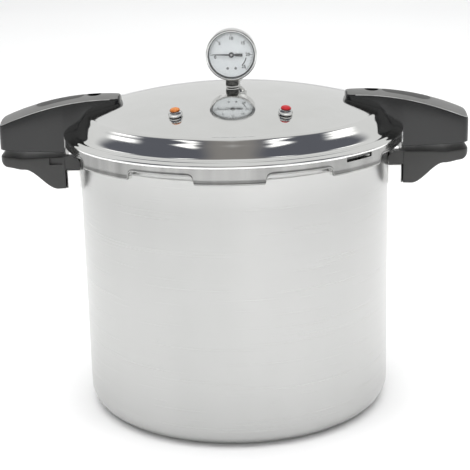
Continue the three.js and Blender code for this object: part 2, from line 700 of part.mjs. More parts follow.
add(canner, 'plug_collar', ontoDome(collar(3.6), -VALVE_X, VALVE_Y), ...chrome);
add(canner, 'overpressure_plug', ontoDome(overpressurePlug(), -VALVE_X, VALVE_Y), 0xc8742a, 0.5, 0);
add(canner, 'indicator_collar', ontoDome(collar(2.95), VALVE_X, VALVE_Y), ...chrome);
add(canner, 'indicator_pin', ontoDome(indicatorPin(), VALVE_X, VALVE_Y), 0xc02028, 0.45, 0);
add(canner, 'indicator_seal', ontoDome(indicatorSeal(), VALVE_X, VALVE_Y), ...rubber);

export default canner;
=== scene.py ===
"""Looks of the pressure canner: smooth visible pieces, materials, floor, light and camera.

Shapes are worked out in millimetres and stored in metres, in the frame of the CAD part.
"""

import json
import math

import bmesh
import bpy
from mathutils import Matrix, Quaternion, Vector


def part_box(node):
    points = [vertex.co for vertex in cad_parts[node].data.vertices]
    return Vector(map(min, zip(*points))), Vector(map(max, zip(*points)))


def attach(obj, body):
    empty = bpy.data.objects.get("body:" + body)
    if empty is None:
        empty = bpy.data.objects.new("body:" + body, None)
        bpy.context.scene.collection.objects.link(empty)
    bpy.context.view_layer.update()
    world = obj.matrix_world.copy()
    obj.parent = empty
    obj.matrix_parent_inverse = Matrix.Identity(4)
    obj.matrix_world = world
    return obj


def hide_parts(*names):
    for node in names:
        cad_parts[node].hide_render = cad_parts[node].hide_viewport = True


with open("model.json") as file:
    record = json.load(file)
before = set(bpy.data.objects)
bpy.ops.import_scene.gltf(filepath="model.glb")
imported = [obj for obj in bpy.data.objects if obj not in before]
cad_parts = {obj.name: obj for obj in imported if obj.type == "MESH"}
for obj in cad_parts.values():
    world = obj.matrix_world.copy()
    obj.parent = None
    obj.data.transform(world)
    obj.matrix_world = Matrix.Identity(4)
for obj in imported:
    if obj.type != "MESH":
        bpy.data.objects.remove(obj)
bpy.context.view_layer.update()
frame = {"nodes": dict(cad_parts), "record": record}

# ------------------------------------------------------------------ sizes, in millimetres
MM = 0.001
GAP = 0.35
SEAT = 0.08                      # gap under the lid handles
SIDES = (("right", 1), ("left", -1))


def span(node):
    """Lowest and highest corner of a CAD node."""
    low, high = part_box(node)
    return low / MM, high / MM


pot_high = span("pot_body")[1]
lid_low, lid_high = span("lid_shell")
handle_low, handle_high = span("lid_handle_right")
lower_low = span("body_handle_right")[0]
bracket_low, bracket_high = span("handle_bracket_right")
case_low, case_high = span("gauge_case")
bezel_low, bezel_high = span("gauge_bezel")

LUG_R = pot_high.x
POT_R = LUG_R - 9.8
RIM_R = LUG_R - 6.6
RIM_TOP = pot_high.z
RIM_LOW = RIM_TOP - 10.4
LUG_LOW = RIM_TOP - 8
LUG_TOP = RIM_TOP - 4.4
POT_WALL = 2.4
POT_BASE = 3
POT_CORNER = 20
LUG_COUNT = 8
LUG_PITCH = 360 / LUG_COUNT
LUG_HALF = 10.25                 # degrees

FLANGE_R = lid_high.x
SKIRT_R = FLANGE_R - 1.1
SKIRT_IN = SKIRT_R - 2.6
SKIRT_LOW = lid_low.z
LIP_R = FLANGE_R - 10.1
LIP_TOP = SKIRT_LOW + 2.7
NOTCH_TOP = SKIRT_LOW + 8.3
NOTCH_HALF = 11.4                # degrees
LID_WALL = 2.6
LID_WALL_IN = 159                # the lid's inner radius over the gasket
GASKET_SEAT_Z = 283.3
WALL_STEPS = 8
DOME_TOP = lid_high.z
DOME_R = FLANGE_R - 23.2
DOME_RISE = 21.7
DOME_Z = DOME_TOP - DOME_RISE
SPHERE = (DOME_R ** 2 + DOME_RISE ** 2) / (2 * DOME_RISE)
SHOULDER_R = FLANGE_R - 11
SHOULDER_Z = DOME_TOP - 38.3
SKIRT_TOP = SHOULDER_Z - 6.6
SLOT_DEG = 45
SLOT_HALF = 17.5
SLOT_HIGH = 4.4
SLOT_Z = DOME_TOP - 47

HANDLE_TIP = handle_low.x - 0.1
HANDLE_OUT = handle_high.x + 0.2
CREST_X = HANDLE_TIP + 14.4
CREST_Z = handle_high.z
CREST_ARC = 250
CROWN = 3.5
NECK_X = 121
NECK_HALF = 15
HANDLE_HALF = 28
HANDLE_FLARE = 13 / 93           # half width gained per millimetre
INLAY_IN = 151
INLAY_OUT = 199.4
SCREW_X = span("lid_handle_screw_right")[0].x + 5.4
LOWER_TOP = RIM_TOP - 16
LOBE_X = 165.5
LOBE_Z = 249
SCREW_HOLE_R = 2.9
BRACKET_SCREW_Z = (bracket_low.z + bracket_high.z) / 2 + 0.1

GAUGE_Z = (case_low.z + case_high.z) / 2
STEM_Y = (span("gauge_washer")[0].y + span("gauge_washer")[1].y) / 2
VENT = (span("vent_pipe")[0] + span("vent_pipe")[1]) / 2
VALVE_X = 52
VALVE_Y = -92.5
PRINT = 0.06                     # thickness of the dial's ink
PRINTED_DIAL_R = 22.1            # the dial size that its marks are laid out for


def dome_z(r):
    return DOME_TOP - SPHERE + math.sqrt(SPHERE ** 2 - r * r)


def smoothstep(low, high, x):
    t = min(1, max(0, (x - low) / (high - low)))
    return t * t * (3 - 2 * t)


# ------------------------------------------------------------------ outlines and skins
def arc(cx, cy, radius, start, stop, steps):
    """Points on an arc, angles in degrees."""
    angles = [math.radians(start + (stop - start) * i / steps) for i in range(steps + 1)]
    return [(cx + radius * math.cos(a), cy + radius * math.sin(a)) for a in angles]


def curve(points, steps=6):
    """A smooth line through the points."""
    ends = [points[0], *points, points[-1]]
    line = []
    for i in range(1, len(ends) - 2):
        p, q, r, s = (Vector(ends[i + k]).to_2d() for k in (-1, 0, 1, 2))
        for k in range(steps):
            t = k / steps
            line.append(tuple(0.5 * (2 * q + (r - p) * t + (2 * p - 5 * q + 4 * r - s) * t ** 2
                                     + (3 * q - p - 3 * r + s) * t ** 3)))
    return [*line, tuple(points[-1])]


def straight(start, stop, steps):
    return [tuple(Vector(start).lerp(Vector(stop), i / steps)) for i in range(steps + 1)]


def skin(columns, around=True, loop=False):
    """Joins columns of points, all of one length, into quads. loop also joins a column's ends."""
    count, size = len(columns), len(columns[0])
    points = [p for column in columns for p in column]
    faces = []
    for i in range(count if around else count - 1):
        a, b = i * size, ((i + 1) % count) * size
        for j in range(size if loop else size - 1):
            k = (j + 1) % size
            faces.append((a + j, b + j, b + k, a + k))
    return points, faces


def turned(profile, sides=48, loop=False):
    """Turns (radius, height) points about Z. A point on the axis closes the end."""
    columns = []
    for i in range(sides):
        a = 2 * math.pi * i / sides
        columns.append([(r * math.cos(a), r * math.sin(a), z) for r, z in profile])
    return skin(columns, loop=loop)


def loft(rings):
    """Joins closed rings of one length and closes both ends with a flat face."""
    size = len(rings[0])
    points, faces = skin(rings, around=False, loop=True)
    last = (len(rings) - 1) * size
    return points, [*faces, tuple(range(size)), tuple(last + i for i in range(size))]


def prism(outline, low, high):
    return loft([[(x, y, low) for x, y in outline], [(x, y, high) for x, y in outline]])


def block(low, high):
    corners = [(low[0], low[1]), (high[0], low[1]), (high[0], high[1]), (low[0], high[1])]
    return prism(corners, low[2], high[2])


def rod(radius, low, high, sides=32):
    """A plain cylinder round the Z axis, between two heights."""
    return turned([(0, low), (radius, low), (radius, high), (0, high)], sides)


def moved(shape, *matrices):
    """The shape with the matrices applied, the last one first."""
    total = Matrix.Identity(4)
    for m in matrices:
        total = total @ m
    return [tuple(total @ Vector(p)) for p in shape[0]], shape[1]


def at(x, y, z):
    return Matrix.Translation((x, y, z))


def turn(degrees, axis):
    return Matrix.Rotation(math.radians(degrees), 4, axis)


MIRROR = Matrix.Scale(-1, 4, (1, 0, 0))


def sided(shape, side):
    """The shape itself on the right, or its mirror image on the left."""
    return shape if side > 0 else moved(shape, MIRROR)


def on_dome(shape, x, y):
    """Stands a fitting on the dome, square to its surface."""
    r = math.hypot(x, y)
    tilt = math.degrees(math.asin(r / SPHERE))
    return moved(shape, at(x, y, dome_z(r)), turn(math.degrees(math.atan2(y, x)), "Z"), turn(tilt, "Y"))


# ------------------------------------------------------------------ pieces
def shade(mesh, sharp):
    mesh.shade_smooth()
    mesh.set_sharp_from_angle(angle=math.radians(sharp))


def make(name, shapes, material, sharp=32):
    """One mesh object from shapes in millimetres."""
    graph = bmesh.new()
    for points, faces in shapes:
        verts = [graph.verts.new(Vector(p) * MM) for p in points]
        for face in faces:
            corners = [verts[i] for i in face]
            if len({tuple(v.co) for v in corners}) > 2:
                graph.faces.new(corners)
    bmesh.ops.remove_doubles(graph, verts=graph.verts, dist=2e-6)
    bmesh.ops.dissolve_degenerate(graph, edges=graph.edges, dist=1e-6)
    bmesh.ops.recalc_face_normals(graph, faces=graph.faces)
    mesh = bpy.data.meshes.new(name)
    graph.to_mesh(mesh)
    graph.free()
    if material:
        mesh.materials.append(material)
    shade(mesh, sharp)
    obj = bpy.data.objects.new(name, mesh)
    bpy.context.scene.collection.objects.link(obj)
    return obj


def carve(obj, shapes, operation="DIFFERENCE", sharp=32):
    """Cuts the shapes out of the piece, or joins them to it."""
    tool = make("tool", shapes, None)
    change = obj.modifiers.new("carve", "BOOLEAN")
    change.operation = operation
    change.solver = "EXACT"
    change.object = tool
    graph = bpy.context.evaluated_depsgraph_get()
    mesh = bpy.data.meshes.new_from_object(obj.evaluated_get(graph))
    obj.modifiers.clear()
    obj.data = mesh
    shade(mesh, sharp)
    bpy.data.objects.remove(tool)
    return obj


def bevel(obj, width, segments=3, angle=40):
    """Rounds the sharp edges."""
    change = obj.modifiers.new("bevel", "BEVEL")
    change.width = width * MM
    change.segments = segments
    change.limit_method = "ANGLE"
    change.angle_limit = math.radians(angle)
    change.harden_normals = True
    return obj


BODY_OF = {node: body for body, nodes in frame["record"]["behaviour"]["bodies"].items() for node in nodes}


def stand_for(obj, slot, *nodes):
    """The piece takes the place of the CAD nodes and moves with their body."""
    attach(obj, BODY_OF[nodes[0]])
    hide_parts(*nodes)
    return obj


def belong(obj, body):
    """A piece of trim with no CAD node of its own."""
    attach(obj, body)
    return obj


# ------------------------------------------------------------------ materials
class Paint:
    """A material with its node tree. Constants go on the shader's own sockets."""

    def __init__(self, name, **sockets):
        self.material = bpy.data.materials.new(name)
        self.material.use_nodes = True
        self.tree = self.material.node_tree
        self.shader = self.tree.nodes["Principled BSDF"]
        self.height = None
        for key, value in sockets.items():
            self.shader.inputs[key.replace("_", " ")].default_value = value
        self.place = self.add("ShaderNodeTexCoord").outputs["Object"]

    def add(self, kind, **inputs):
        node = self.tree.nodes.new(kind)
        for key, value in inputs.items():
            socket = node.inputs[key.replace("_", " ")]
            if isinstance(value, bpy.types.NodeSocket):
                self.tree.links.new(value, socket)
            else:
                socket.default_value = value
        return node

    def stretched(self, x, y, z):
        """Object coordinates, scaled per axis."""
        return self.add("ShaderNodeMapping", Vector=self.place, Scale=(x, y, z)).outputs["Vector"]

    def rings(self, across, up):
        """Coordinates that change with the distance from the Z axis and with height only."""
        parts = self.add("ShaderNodeSeparateXYZ", Vector=self.place)
        flat = self.add("ShaderNodeCombineXYZ", X=parts.outputs["X"], Y=parts.outputs["Y"])
        length = self.tree.nodes.new("ShaderNodeVectorMath")
        length.operation = "LENGTH"
        self.tree.links.new(flat.outputs["Vector"], length.inputs[0])
        both = self.add("ShaderNodeCombineXYZ", X=length.outputs["Value"], Z=parts.outputs["Z"])
        scaled = self.add("ShaderNodeMapping", Vector=both.outputs["Vector"], Scale=(across, 1, up))
        return scaled.outputs["Vector"]

    def noise(self, where, scale, detail=3.0, roughness=0.55):
        made = self.add("ShaderNodeTexNoise", Vector=where, Scale=scale, Detail=detail, Roughness=roughness)
        return made.outputs["Fac"]

    def range(self, value, low, high, start=0.3, stop=0.7):
        made = self.add("ShaderNodeMapRange", Value=value)
        for key, number in (("From Min", start), ("From Max", stop), ("To Min", low), ("To Max", high)):
            made.inputs[key].default_value = number
        return made.outputs["Result"]

    def colour(self, value, dark, light, start=0.3, stop=0.7):
        """Base colour between two colours."""
        ramp = self.tree.nodes.new("ShaderNodeValToRGB")
        self.tree.links.new(value, ramp.inputs["Fac"])
        for element, position, tint in zip(ramp.color_ramp.elements, (start, stop), (dark, light)):
            element.position = position
            element.color = (*tint, 1)
        self.tree.links.new(ramp.outputs["Color"], self.shader.inputs["Base Color"])
        return self

    def rough(self, value, low, high, start=0.3, stop=0.7):
        self.tree.links.new(self.range(value, low, high, start, stop), self.shader.inputs["Roughness"])
        return self

    def bump(self, value, depth, strength=1.0):
        """Adds relief of that depth, in millimetres."""
        node = self.add("ShaderNodeBump", Height=value, Strength=strength, Distance=depth * MM)
        if self.height is not None:
            self.tree.links.new(self.height, node.inputs["Normal"])
        self.height = node.outputs["Normal"]
        self.tree.links.new(self.height, self.shader.inputs["Normal"])
        return self

    def grain(self, turns):
        """Brushed grain that runs round the Z axis."""
        tangent = self.tree.nodes.new("ShaderNodeTangent")
        tangent.direction_type = "RADIAL"
        tangent.axis = "Z"
        self.tree.links.new(tangent.outputs["Tangent"], self.shader.inputs["Tangent"])
        self.shader.inputs["Anisotropic Rotation"].default_value = turns
        return self


def satin_wall():
    paint = Paint("satin_wall", Metallic=1.0, Anisotropic=0.5)
    lines = paint.noise(paint.stretched(5, 5, 1400), 1.0, 3)
    clouds = paint.noise(paint.stretched(9, 9, 1.5), 1.0, 2)
    paint.colour(clouds, (0.495, 0.498, 0.490), (0.540, 0.540, 0.533))
    paint.rough(lines, 0.27, 0.34)
    paint.bump(lines, 0.003)
    return paint.grain(0.25).material


def polished_lid():
    paint = Paint("polished_lid", Metallic=1.0)
    rings = paint.noise(paint.rings(2600, 900), 1.0, 2)
    smears = paint.noise(paint.stretched(24, 24, 24), 1.0, 4)
    paint.colour(smears, (0.80, 0.80, 0.785), (0.84, 0.84, 0.83))
    paint.rough(smears, 0.045, 0.10)
    paint.bump(rings, 0.0006)
    return paint.material


def worn_skirt():
    """The lid's skirt: a little rougher than the dome, its colour darkened as painted shade, with faint
    upright bands of painted reflection.
    """
    paint = Paint("worn_skirt", Metallic=1.0)
    painted_reflection_bands = paint.noise(paint.stretched(38, 38, 2), 1.0, 3)
    paint.colour(painted_reflection_bands, (0.23, 0.23, 0.226), (0.44, 0.44, 0.432))
    paint.rough(painted_reflection_bands, 0.10, 0.20)
    return paint.material


def satin_strip():
    paint = Paint("satin_strip", Metallic=1.0, Anisotropic=0.4)
    lines = paint.noise(paint.stretched(60, 60, 1800), 1.0, 3)
    paint.colour(lines, (0.79, 0.79, 0.78), (0.86, 0.86, 0.85))
    paint.rough(lines, 0.26, 0.4)
    return paint.bump(lines, 0.006).material


def milled_plate():
    paint = Paint("milled_plate", Metallic=1.0)
    lines = paint.noise(paint.stretched(1500, 12, 30), 1.0, 3)
    stains = paint.noise(paint.stretched(30, 30, 30), 1.0, 5)
    paint.colour(stains, (0.66, 0.66, 0.65), (0.79, 0.79, 0.78))
    paint.rough(lines, 0.34, 0.5)
    return paint.bump(lines, 0.01).material


def gloss_plastic():
    paint = Paint("gloss_plastic", IOR=1.52)
    peel = paint.noise(paint.stretched(420, 420, 420), 1.0, 2)
    haze = paint.noise(paint.stretched(30, 30, 30), 1.0, 3)
    paint.colour(haze, (0.007, 0.007, 0.0075), (0.011, 0.0115, 0.0115))
    paint.rough(haze, 0.09, 0.16)
    return paint.bump(peel, 0.004).material


def handle_top_plastic():
    paint = Paint("handle_top_plastic", IOR=1.6)
    sand = paint.noise(paint.stretched(1500, 1500, 1500), 1.0, 2)
    haze = paint.noise(paint.stretched(26, 26, 26), 1.0, 3)
    # Painted sheen: the top's colour is far lighter than the handle's black sides and stands in for the
    # light the top catches; its matte roughness and sanded bumps are its own.
    paint.colour(haze, (0.085, 0.085, 0.082), (0.115, 0.115, 0.112))
    paint.rough(haze, 0.36, 0.46)
    return paint.bump(sand, 0.012).material


def handle_rim_plastic():
    """A painted highlight: the lighter colour of the rounded edge round a handle's top stands in for the
    light line that this glossy edge catches.
    """
    paint = Paint("handle_rim_plastic", IOR=1.6)
    rim_highlight_mottle = paint.noise(paint.stretched(60, 60, 60), 1.0, 3)
    paint.colour(rim_highlight_mottle, (0.17, 0.17, 0.168), (0.33, 0.33, 0.325))
    return paint.rough(rim_highlight_mottle, 0.14, 0.24).material


def satin_plastic():
    paint = Paint("satin_plastic", IOR=1.5)
    sand = paint.noise(paint.stretched(1100, 1100, 1100), 1.0, 2)
    haze = paint.noise(paint.stretched(22, 22, 22), 1.0, 3)
    paint.colour(haze, (0.026, 0.026, 0.025), (0.037, 0.037, 0.036))
    paint.rough(haze, 0.30, 0.42)
    return paint.bump(sand, 0.010).material


def inlay_plastic():
    paint = Paint("inlay_plastic", IOR=1.5)
    ribs = paint.tree.nodes.new("ShaderNodeTexWave")
    ribs.wave_type = "BANDS"
    ribs.bands_direction = "DIAGONAL"
    paint.tree.links.new(paint.place, ribs.inputs["Vector"])
    ribs.inputs["Scale"].default_value = 160
    haze = paint.noise(paint.stretched(60, 60, 60), 1.0, 3)
    paint.colour(haze, (0.016, 0.016, 0.0155), (0.030, 0.030, 0.029))
    paint.rough(haze, 0.42, 0.55)
    return paint.bump(ribs.outputs["Fac"], 0.03).material


def chrome_plate():
    paint = Paint("chrome_plate", Metallic=1.0)
    haze = paint.noise(paint.stretched(90, 90, 90), 1.0, 3)
    paint.colour(haze, (0.70, 0.70, 0.69), (0.80, 0.80, 0.79))
    paint.rough(haze, 0.06, 0.13)
    return paint.bump(haze, 0.004).material


def plated_steel():
    paint = Paint("plated_steel", Metallic=1.0)
    haze = paint.noise(paint.stretched(240, 240, 240), 1.0, 4)
    paint.colour(haze, (0.44, 0.44, 0.43), (0.60, 0.60, 0.59))
    paint.rough(haze, 0.26, 0.42)
    return paint.bump(haze, 0.01).material


def dark_steel():
    paint = Paint("dark_steel", Metallic=1.0)
    mottle = paint.noise(paint.stretched(520, 520, 520), 1.0, 4)
    paint.colour(mottle, (0.05, 0.05, 0.05), (0.22, 0.22, 0.21))
    paint.rough(mottle, 0.30, 0.52)
    return paint.bump(mottle, 0.03).material


def machined_brass():
    paint = Paint("machined_brass", Metallic=1.0)
    lines = paint.noise(paint.stretched(300, 300, 2600), 1.0, 3)
    tarnish = paint.noise(paint.stretched(120, 120, 120), 1.0, 4)
    paint.colour(tarnish, (0.56, 0.38, 0.15), (0.75, 0.57, 0.28))
    paint.rough(lines, 0.24, 0.42)
    return paint.bump(lines, 0.006).material


def black_rubber():
    paint = Paint("black_rubber", IOR=1.45)
    sand = paint.noise(paint.stretched(700, 700, 700), 1.0, 3)
    bloom = paint.noise(paint.stretched(40, 40, 40), 1.0, 4)
    paint.colour(bloom, (0.19, 0.19, 0.188), (0.25, 0.25, 0.247))
    paint.rough(bloom, 0.62, 0.8)
    return paint.bump(sand, 0.03).material


def clear_lens():
    paint = Paint("clear_lens", IOR=1.5, Alpha=0.05)
    smear = paint.noise(paint.stretched(110, 110, 110), 1.0, 3)
    paint.colour(smear, (0.90, 0.93, 0.94), (0.96, 0.98, 0.98))
    return paint.rough(smear, 0.02, 0.07).material


def dial_enamel():
    paint = Paint("dial_enamel", IOR=1.5)
    mottle = paint.noise(paint.stretched(180, 180, 180), 1.0, 3)
    paint.colour(mottle, (0.70, 0.735, 0.75), (0.75, 0.78, 0.79))
    paint.rough(mottle, 0.38, 0.5)
    return paint.bump(mottle, 0.003).material


def ink(name, dark, light):
    paint = Paint(name, IOR=1.5)
    mottle = paint.noise(paint.stretched(600, 600, 600), 1.0, 3)
    paint.colour(mottle, dark, light)
    return paint.rough(mottle, 0.4, 0.6).material


def silicone(name, dark, light):
    paint = Paint(name, IOR=1.41, Subsurface_Weight=0.15, Subsurface_Scale=0.002)
    mottle = paint.noise(paint.stretched(300, 300, 300), 1.0, 3)
    paint.colour(mottle, dark, light)
    paint.rough(mottle, 0.28, 0.42)
    return paint.bump(mottle, 0.02).material


LOOK = {
    "pot_aluminium": satin_wall(),
    "lid_aluminium": polished_lid(),
    "bracket_aluminium": satin_strip(),
    "rack_aluminium": milled_plate(),
    "lid_handle_plastic": gloss_plastic(),
    "body_handle_plastic": satin_plastic(),
    "inlay_plastic": inlay_plastic(),
    "chrome": chrome_plate(),
    "steel": plated_steel(),
    "gauge_steel": dark_steel(),
    "brass": machined_brass(),
    "rubber": black_rubber(),
    "glass": clear_lens(),
    "dial_enamel": dial_enamel(),
    "pointer_black": ink("printed_black", (0.010, 0.011, 0.013), (0.026, 0.027, 0.03)),
    "amber_silicone": silicone("amber_silicone", (0.36, 0.105, 0.02), (0.50, 0.18, 0.04)),
    "red_silicone": silicone("red_silicone", (0.29, 0.006, 0.01), (0.42, 0.015, 0.02)),
}
HANDLE_TOP_SHEEN_LOOK = handle_top_plastic()
HANDLE_RIM_HIGHLIGHT_LOOK = handle_rim_plastic()
SKIRT_SHADE_LOOK = worn_skirt()
RIVET_LOOK = ink("printed_grey", (0.12, 0.125, 0.13), (0.19, 0.195, 0.2))


# ------------------------------------------------------------------ pot
def pot_profile(lug):
    """Half section of the pot. lug is 0 between the bayonet lugs and 1 at one."""
    inner = POT_R - POT_WALL
    corner_in = POT_CORNER - POT_WALL
    out = RIM_R + lug * (LUG_R - RIM_R)
    squeeze = 0.3 * (1 - lug)
    return [
        *straight((0, 0), (POT_R - POT_CORNER, 0), 6)[:-1],
        *arc(POT_R - POT_CORNER, POT_CORNER, POT_CORNER, -90, 0, 14),
        *straight((POT_R, 40), (POT_R, RIM_LOW - 1.2), 8),
        *curve([(POT_R + 0.2, RIM_LOW - 0.4), (POT_R + 1.6, RIM_LOW + 0.7), (RIM_R, RIM_LOW + 1.9)], 3),
        (RIM_R, LUG_LOW), (out - 0.5 * lug, LUG_LOW + squeeze), (out, LUG_LOW + 0.5 + squeeze),
        (out, LUG_TOP - 0.5 - squeeze), (out - 0.5 * lug, LUG_TOP - squeeze), (RIM_R, LUG_TOP),
        *arc(RIM_R - 0.8, RIM_TOP - 0.8, 0.8, 0, 90, 4),
        *arc(inner + 0.8, RIM_TOP - 0.8, 0.8, 90, 180, 4),
        *straight((inner, RIM_TOP - 20), (inner, 40), 6),
        *arc(inner - corner_in, POT_BASE + corner_in, corner_in, 0, -90, 12),
        *straight((inner - corner_in, POT_BASE), (0, POT_BASE), 6)[1:],
    ]


def lug_angles():
    """Angles of one pitch, from a lug's middle to the next, closer together at the lug's ends."""
    near = [0, 2, 4, 6, 8, 9.6, LUG_HALF - 0.25, LUG_HALF, LUG_HALF + 0.25]
    far = [12, 14, 16, 18, 20]
    half = near + far
    return half + [22.5] + [LUG_PITCH - a for a in reversed(half)][:-1]


def pot():
    columns = []
    for k in range(LUG_COUNT):
        for a in lug_angles():
            away = min(a, LUG_PITCH - a)
            lug = 1 - smoothstep(LUG_HALF - 0.25, LUG_HALF + 0.25, away)
            angle = math.radians(k * LUG_PITCH + a - 90)
            columns.append([(r * math.cos(angle), r * math.sin(angle), z) for r, z in pot_profile(lug)])
    wall = make("pot_wall", [skin(columns)], LOOK["pot_aluminium"])
    stand_for(wall, "pot_aluminium", "pot_body")


# ------------------------------------------------------------------ lid
def bulge(step):
    """How far the steep wall below the dome swells outwards."""
    t = step / WALL_STEPS
    return 4 * 0.32 * t * (1 - t)


def lid_outline():
    """Half section of the lid's upper surface, from the axis to the top of the skirt."""
    dome = [(r, dome_z(r)) for r in [DOME_R * 0.975 * (i / 30) for i in range(30)]]
    edge = curve([(DOME_R - 3.7, dome_z(DOME_R - 3.7)), (DOME_R - 1.5, DOME_Z + 0.65),
                  (DOME_R + 0.8, DOME_Z - 0.9), (DOME_R + 2.9, DOME_Z - 3.4)], 6)
    steep = straight((DOME_R + 3.4, DOME_Z - 4.1), (SHOULDER_R - 1.6, SHOULDER_Z + 2.3), WALL_STEPS)
    wall = [(r + bulge(t), z + 0.7 * bulge(t)) for t, (r, z) in enumerate(steep)]
    inward_and_down = [(9.2, 0.8), (7.8, 0.9), (6.4, 0.4), (5.2, 0.8), (4.2, 1.7), (3, 2.2), (1.3, 2.9),
                       (0.2, 3.9), (0.05, 4.8), (0.4, 5.7)]
    beads = curve([(SHOULDER_R - 1.2, SHOULDER_Z + 1.7), (SHOULDER_R, SHOULDER_Z + 0.2),
                   *((FLANGE_R - x, SHOULDER_Z - z) for x, z in inward_and_down), (SKIRT_R, SKIRT_TOP)], 4)
    return [*dome, *edge, *wall, *beads]


def skirt_edge():
    """One pitch of the skirt's lower edge, from the middle of a tab: (degrees, height, lip) per column."""
    per_mm = math.degrees(1 / SKIRT_R)
    riser = 22.5 - NOTCH_HALF
    tab = [(a, SKIRT_LOW, 1) for a in [riser * i / 8 for i in range(8)]]
    tab.append((riser - 1.7 * per_mm, SKIRT_LOW, 1))
    tab.append((riser - 1.6 * per_mm, SKIRT_LOW, 0))
    foot = [(riser + x * per_mm, z, 0) for x, z in arc(-1.5, SKIRT_LOW + 1.5, 1.5, -72, 0, 4)]
    top = [(riser + x * per_mm, z, 0) for x, z in arc(5.4, NOTCH_TOP - 5, 5, 176, 90, 8)]
    inner = [(top[-1][0] + (22.5 - top[-1][0]) * i / 5, NOTCH_TOP, 0) for i in range(1, 5)]
    half = [*tab, *foot, *top, *inner]
    back = [(LUG_PITCH - a, z, lip) for a, z, lip in reversed(half)][:-1]
    return [*half, (22.5, NOTCH_TOP, 0), *back]


def skirt_section(low, lip):
    """Half section of the skirt: (radius, height, how far the point follows the lower edge's angles)."""
    lip_r = LIP_R if lip else SKIRT_IN
    lip_top = LIP_TOP if lip else low + 1.1
    fall = [(SKIRT_R, SKIRT_TOP + (low + 2.7 - SKIRT_TOP) * t, t) for t in (0.25, 0.5, 0.75, 1)]
    up_and_out = [(2.2, 0.22), (1.6, 0.42), (1.0, 0.42), (0.45, 0.15), (0.12, -0.35), (0, -1)]
    rolled = [(SKIRT_R + out, low + up, 1) for up, out in up_and_out]
    tab = [(lip_r + 0.3, low, 1), (lip_r, low + 0.3, 1), (lip_r, lip_top, 1), (SKIRT_IN, lip_top + 0.1, 1)]
    back = [(SKIRT_IN, lip_top + 0.5, 1), (SKIRT_IN, GASKET_SEAT_Z - 2.3, 0.3),
            (SKIRT_IN, GASKET_SEAT_Z - 0.7, 0)]
    return [*fall, *rolled, *tab, *back]


def lid_inside():
    """Half section of the lid's inner surface, from the gasket's seat to the axis."""
    under = [(r, dome_z(r) - LID_WALL) for r in [135 - 9 * i for i in range(15)]]
    return [(SKIRT_IN - 1, GASKET_SEAT_Z), (LID_WALL_IN, GASKET_SEAT_Z), (LID_WALL_IN - 1.8, SHOULDER_Z),
            (LID_WALL_IN - 9.4, DOME_Z - 4.4), (LID_WALL_IN - 12, DOME_Z - 2.6), *under,
            (0, DOME_TOP - LID_WALL)]


def lid_cuts():
    """The window in the skirt and the holes for the fittings and the handle screws."""
    across, up = SLOT_HALF - 1, SLOT_HIGH / 2 - 1
    window = [*arc(across, up, 1, 0, 90, 4), *arc(-across, up, 1, 90, 180, 4),
              *arc(-across, -up, 1, 180, 270, 4), *arc(across, -up, 1, 270, 360, 4)]
    cuts = [moved(prism(window, SKIRT_IN - 3, 180), turn(SLOT_DEG, "Z"), at(0, 0, SLOT_Z), turn(90, "X"))]
    cuts.append(moved(rod(5.2, 300, 340), at(0, STEM_Y, 0)))
    cuts.append(moved(rod(3.5, 300, 340), at(VENT.x, VENT.y, 0)))
    for side in (1, -1):
        cuts.append(moved(rod(SCREW_HOLE_R, 290, 330, 24), at(side * SCREW_X, 0, 0)))
        cuts.append(on_dome(rod(4.1, -12, 12), side * VALVE_X, VALVE_Y))
    return cuts


def lid():
    upper = [(r, z, 0) for r, z in lid_outline()]
    inside = [(r, z, 0) for r, z in lid_inside()]
    edge = skirt_edge()
    columns = []
    for k in range(LUG_COUNT):
        for i, (angle, low, lip) in enumerate(edge):
            top_angle = LUG_PITCH * i / len(edge)
            column = []
            for r, z, t in [*upper, *skirt_section(low, lip), *inside]:
                a = math.radians(k * LUG_PITCH + top_angle + (angle - top_angle) * t - 90)
                column.append((r * math.cos(a), r * math.sin(a), z))
            columns.append(column)
    shell = make("lid_dome_and_skirt", [skin(columns)], LOOK["lid_aluminium"])
    carve(shell, lid_cuts())
    # The skirt's faces take the second material, whose darker colour is painted shade with upright bands of
    # painted reflection.
    shell.data.materials.append(SKIRT_SHADE_LOOK)
    for face in shell.data.polygons:
        middle = face.center / MM
        if middle.z < SKIRT_TOP + 0.2 and middle.to_2d().length > SKIRT_IN - 1:
            face.material_index = 1
    stand_for(shell, "lid_aluminium", "lid_shell")


def gasket():
    low, high = span("sealing_gasket")
    foot, out = low.z, high.x
    profile = [*arc(out - 7, foot + 0.6, 0.6, 180, 270, 3), *arc(out - 0.6, foot + 0.6, 0.6, 270, 360, 3),
               *arc(out - 0.6, foot + 2.6, 0.6, 0, 80, 3), (out - 2.6, foot + 3.5),
               *arc(out - 7, foot + 2.9, 0.6, 90, 180, 3)]
    ring = make("gasket_ring", [turned(profile, 144, loop=True)], LOOK["rubber"])
    stand_for(ring, "rubber", "sealing_gasket")


def rack():
    low, high = span("canning_rack")
    r, top = high.x, high.z
    foot = low.z
    profile = [(0, top - 1.4), (r - 4.6, top - 1.4), *arc(r - 4.4, top - 4.4, 3, 90, 0, 5),
               (r - 1.4, foot + 0.3), *arc(r - 0.7, foot + 0.7, 0.7, 180, 360, 4),
               *arc(r - 4, top - 4, 4, 0, 90, 8), (0, top)]
    plate = make("rack_plate", [turned(profile, 128)], LOOK["rack_aluminium"])
    holes = []
    for radius, count in ((0, 1), (46, 6), (96, 12)):
        for i in range(count):
            a = 2 * math.pi * i / count
            holes.append(moved(rod(9, top - 8, top + 8), at(radius * math.cos(a), radius * math.sin(a), 0)))
    carve(plate, holes)
    stand_for(plate, "rack_aluminium", "canning_rack")


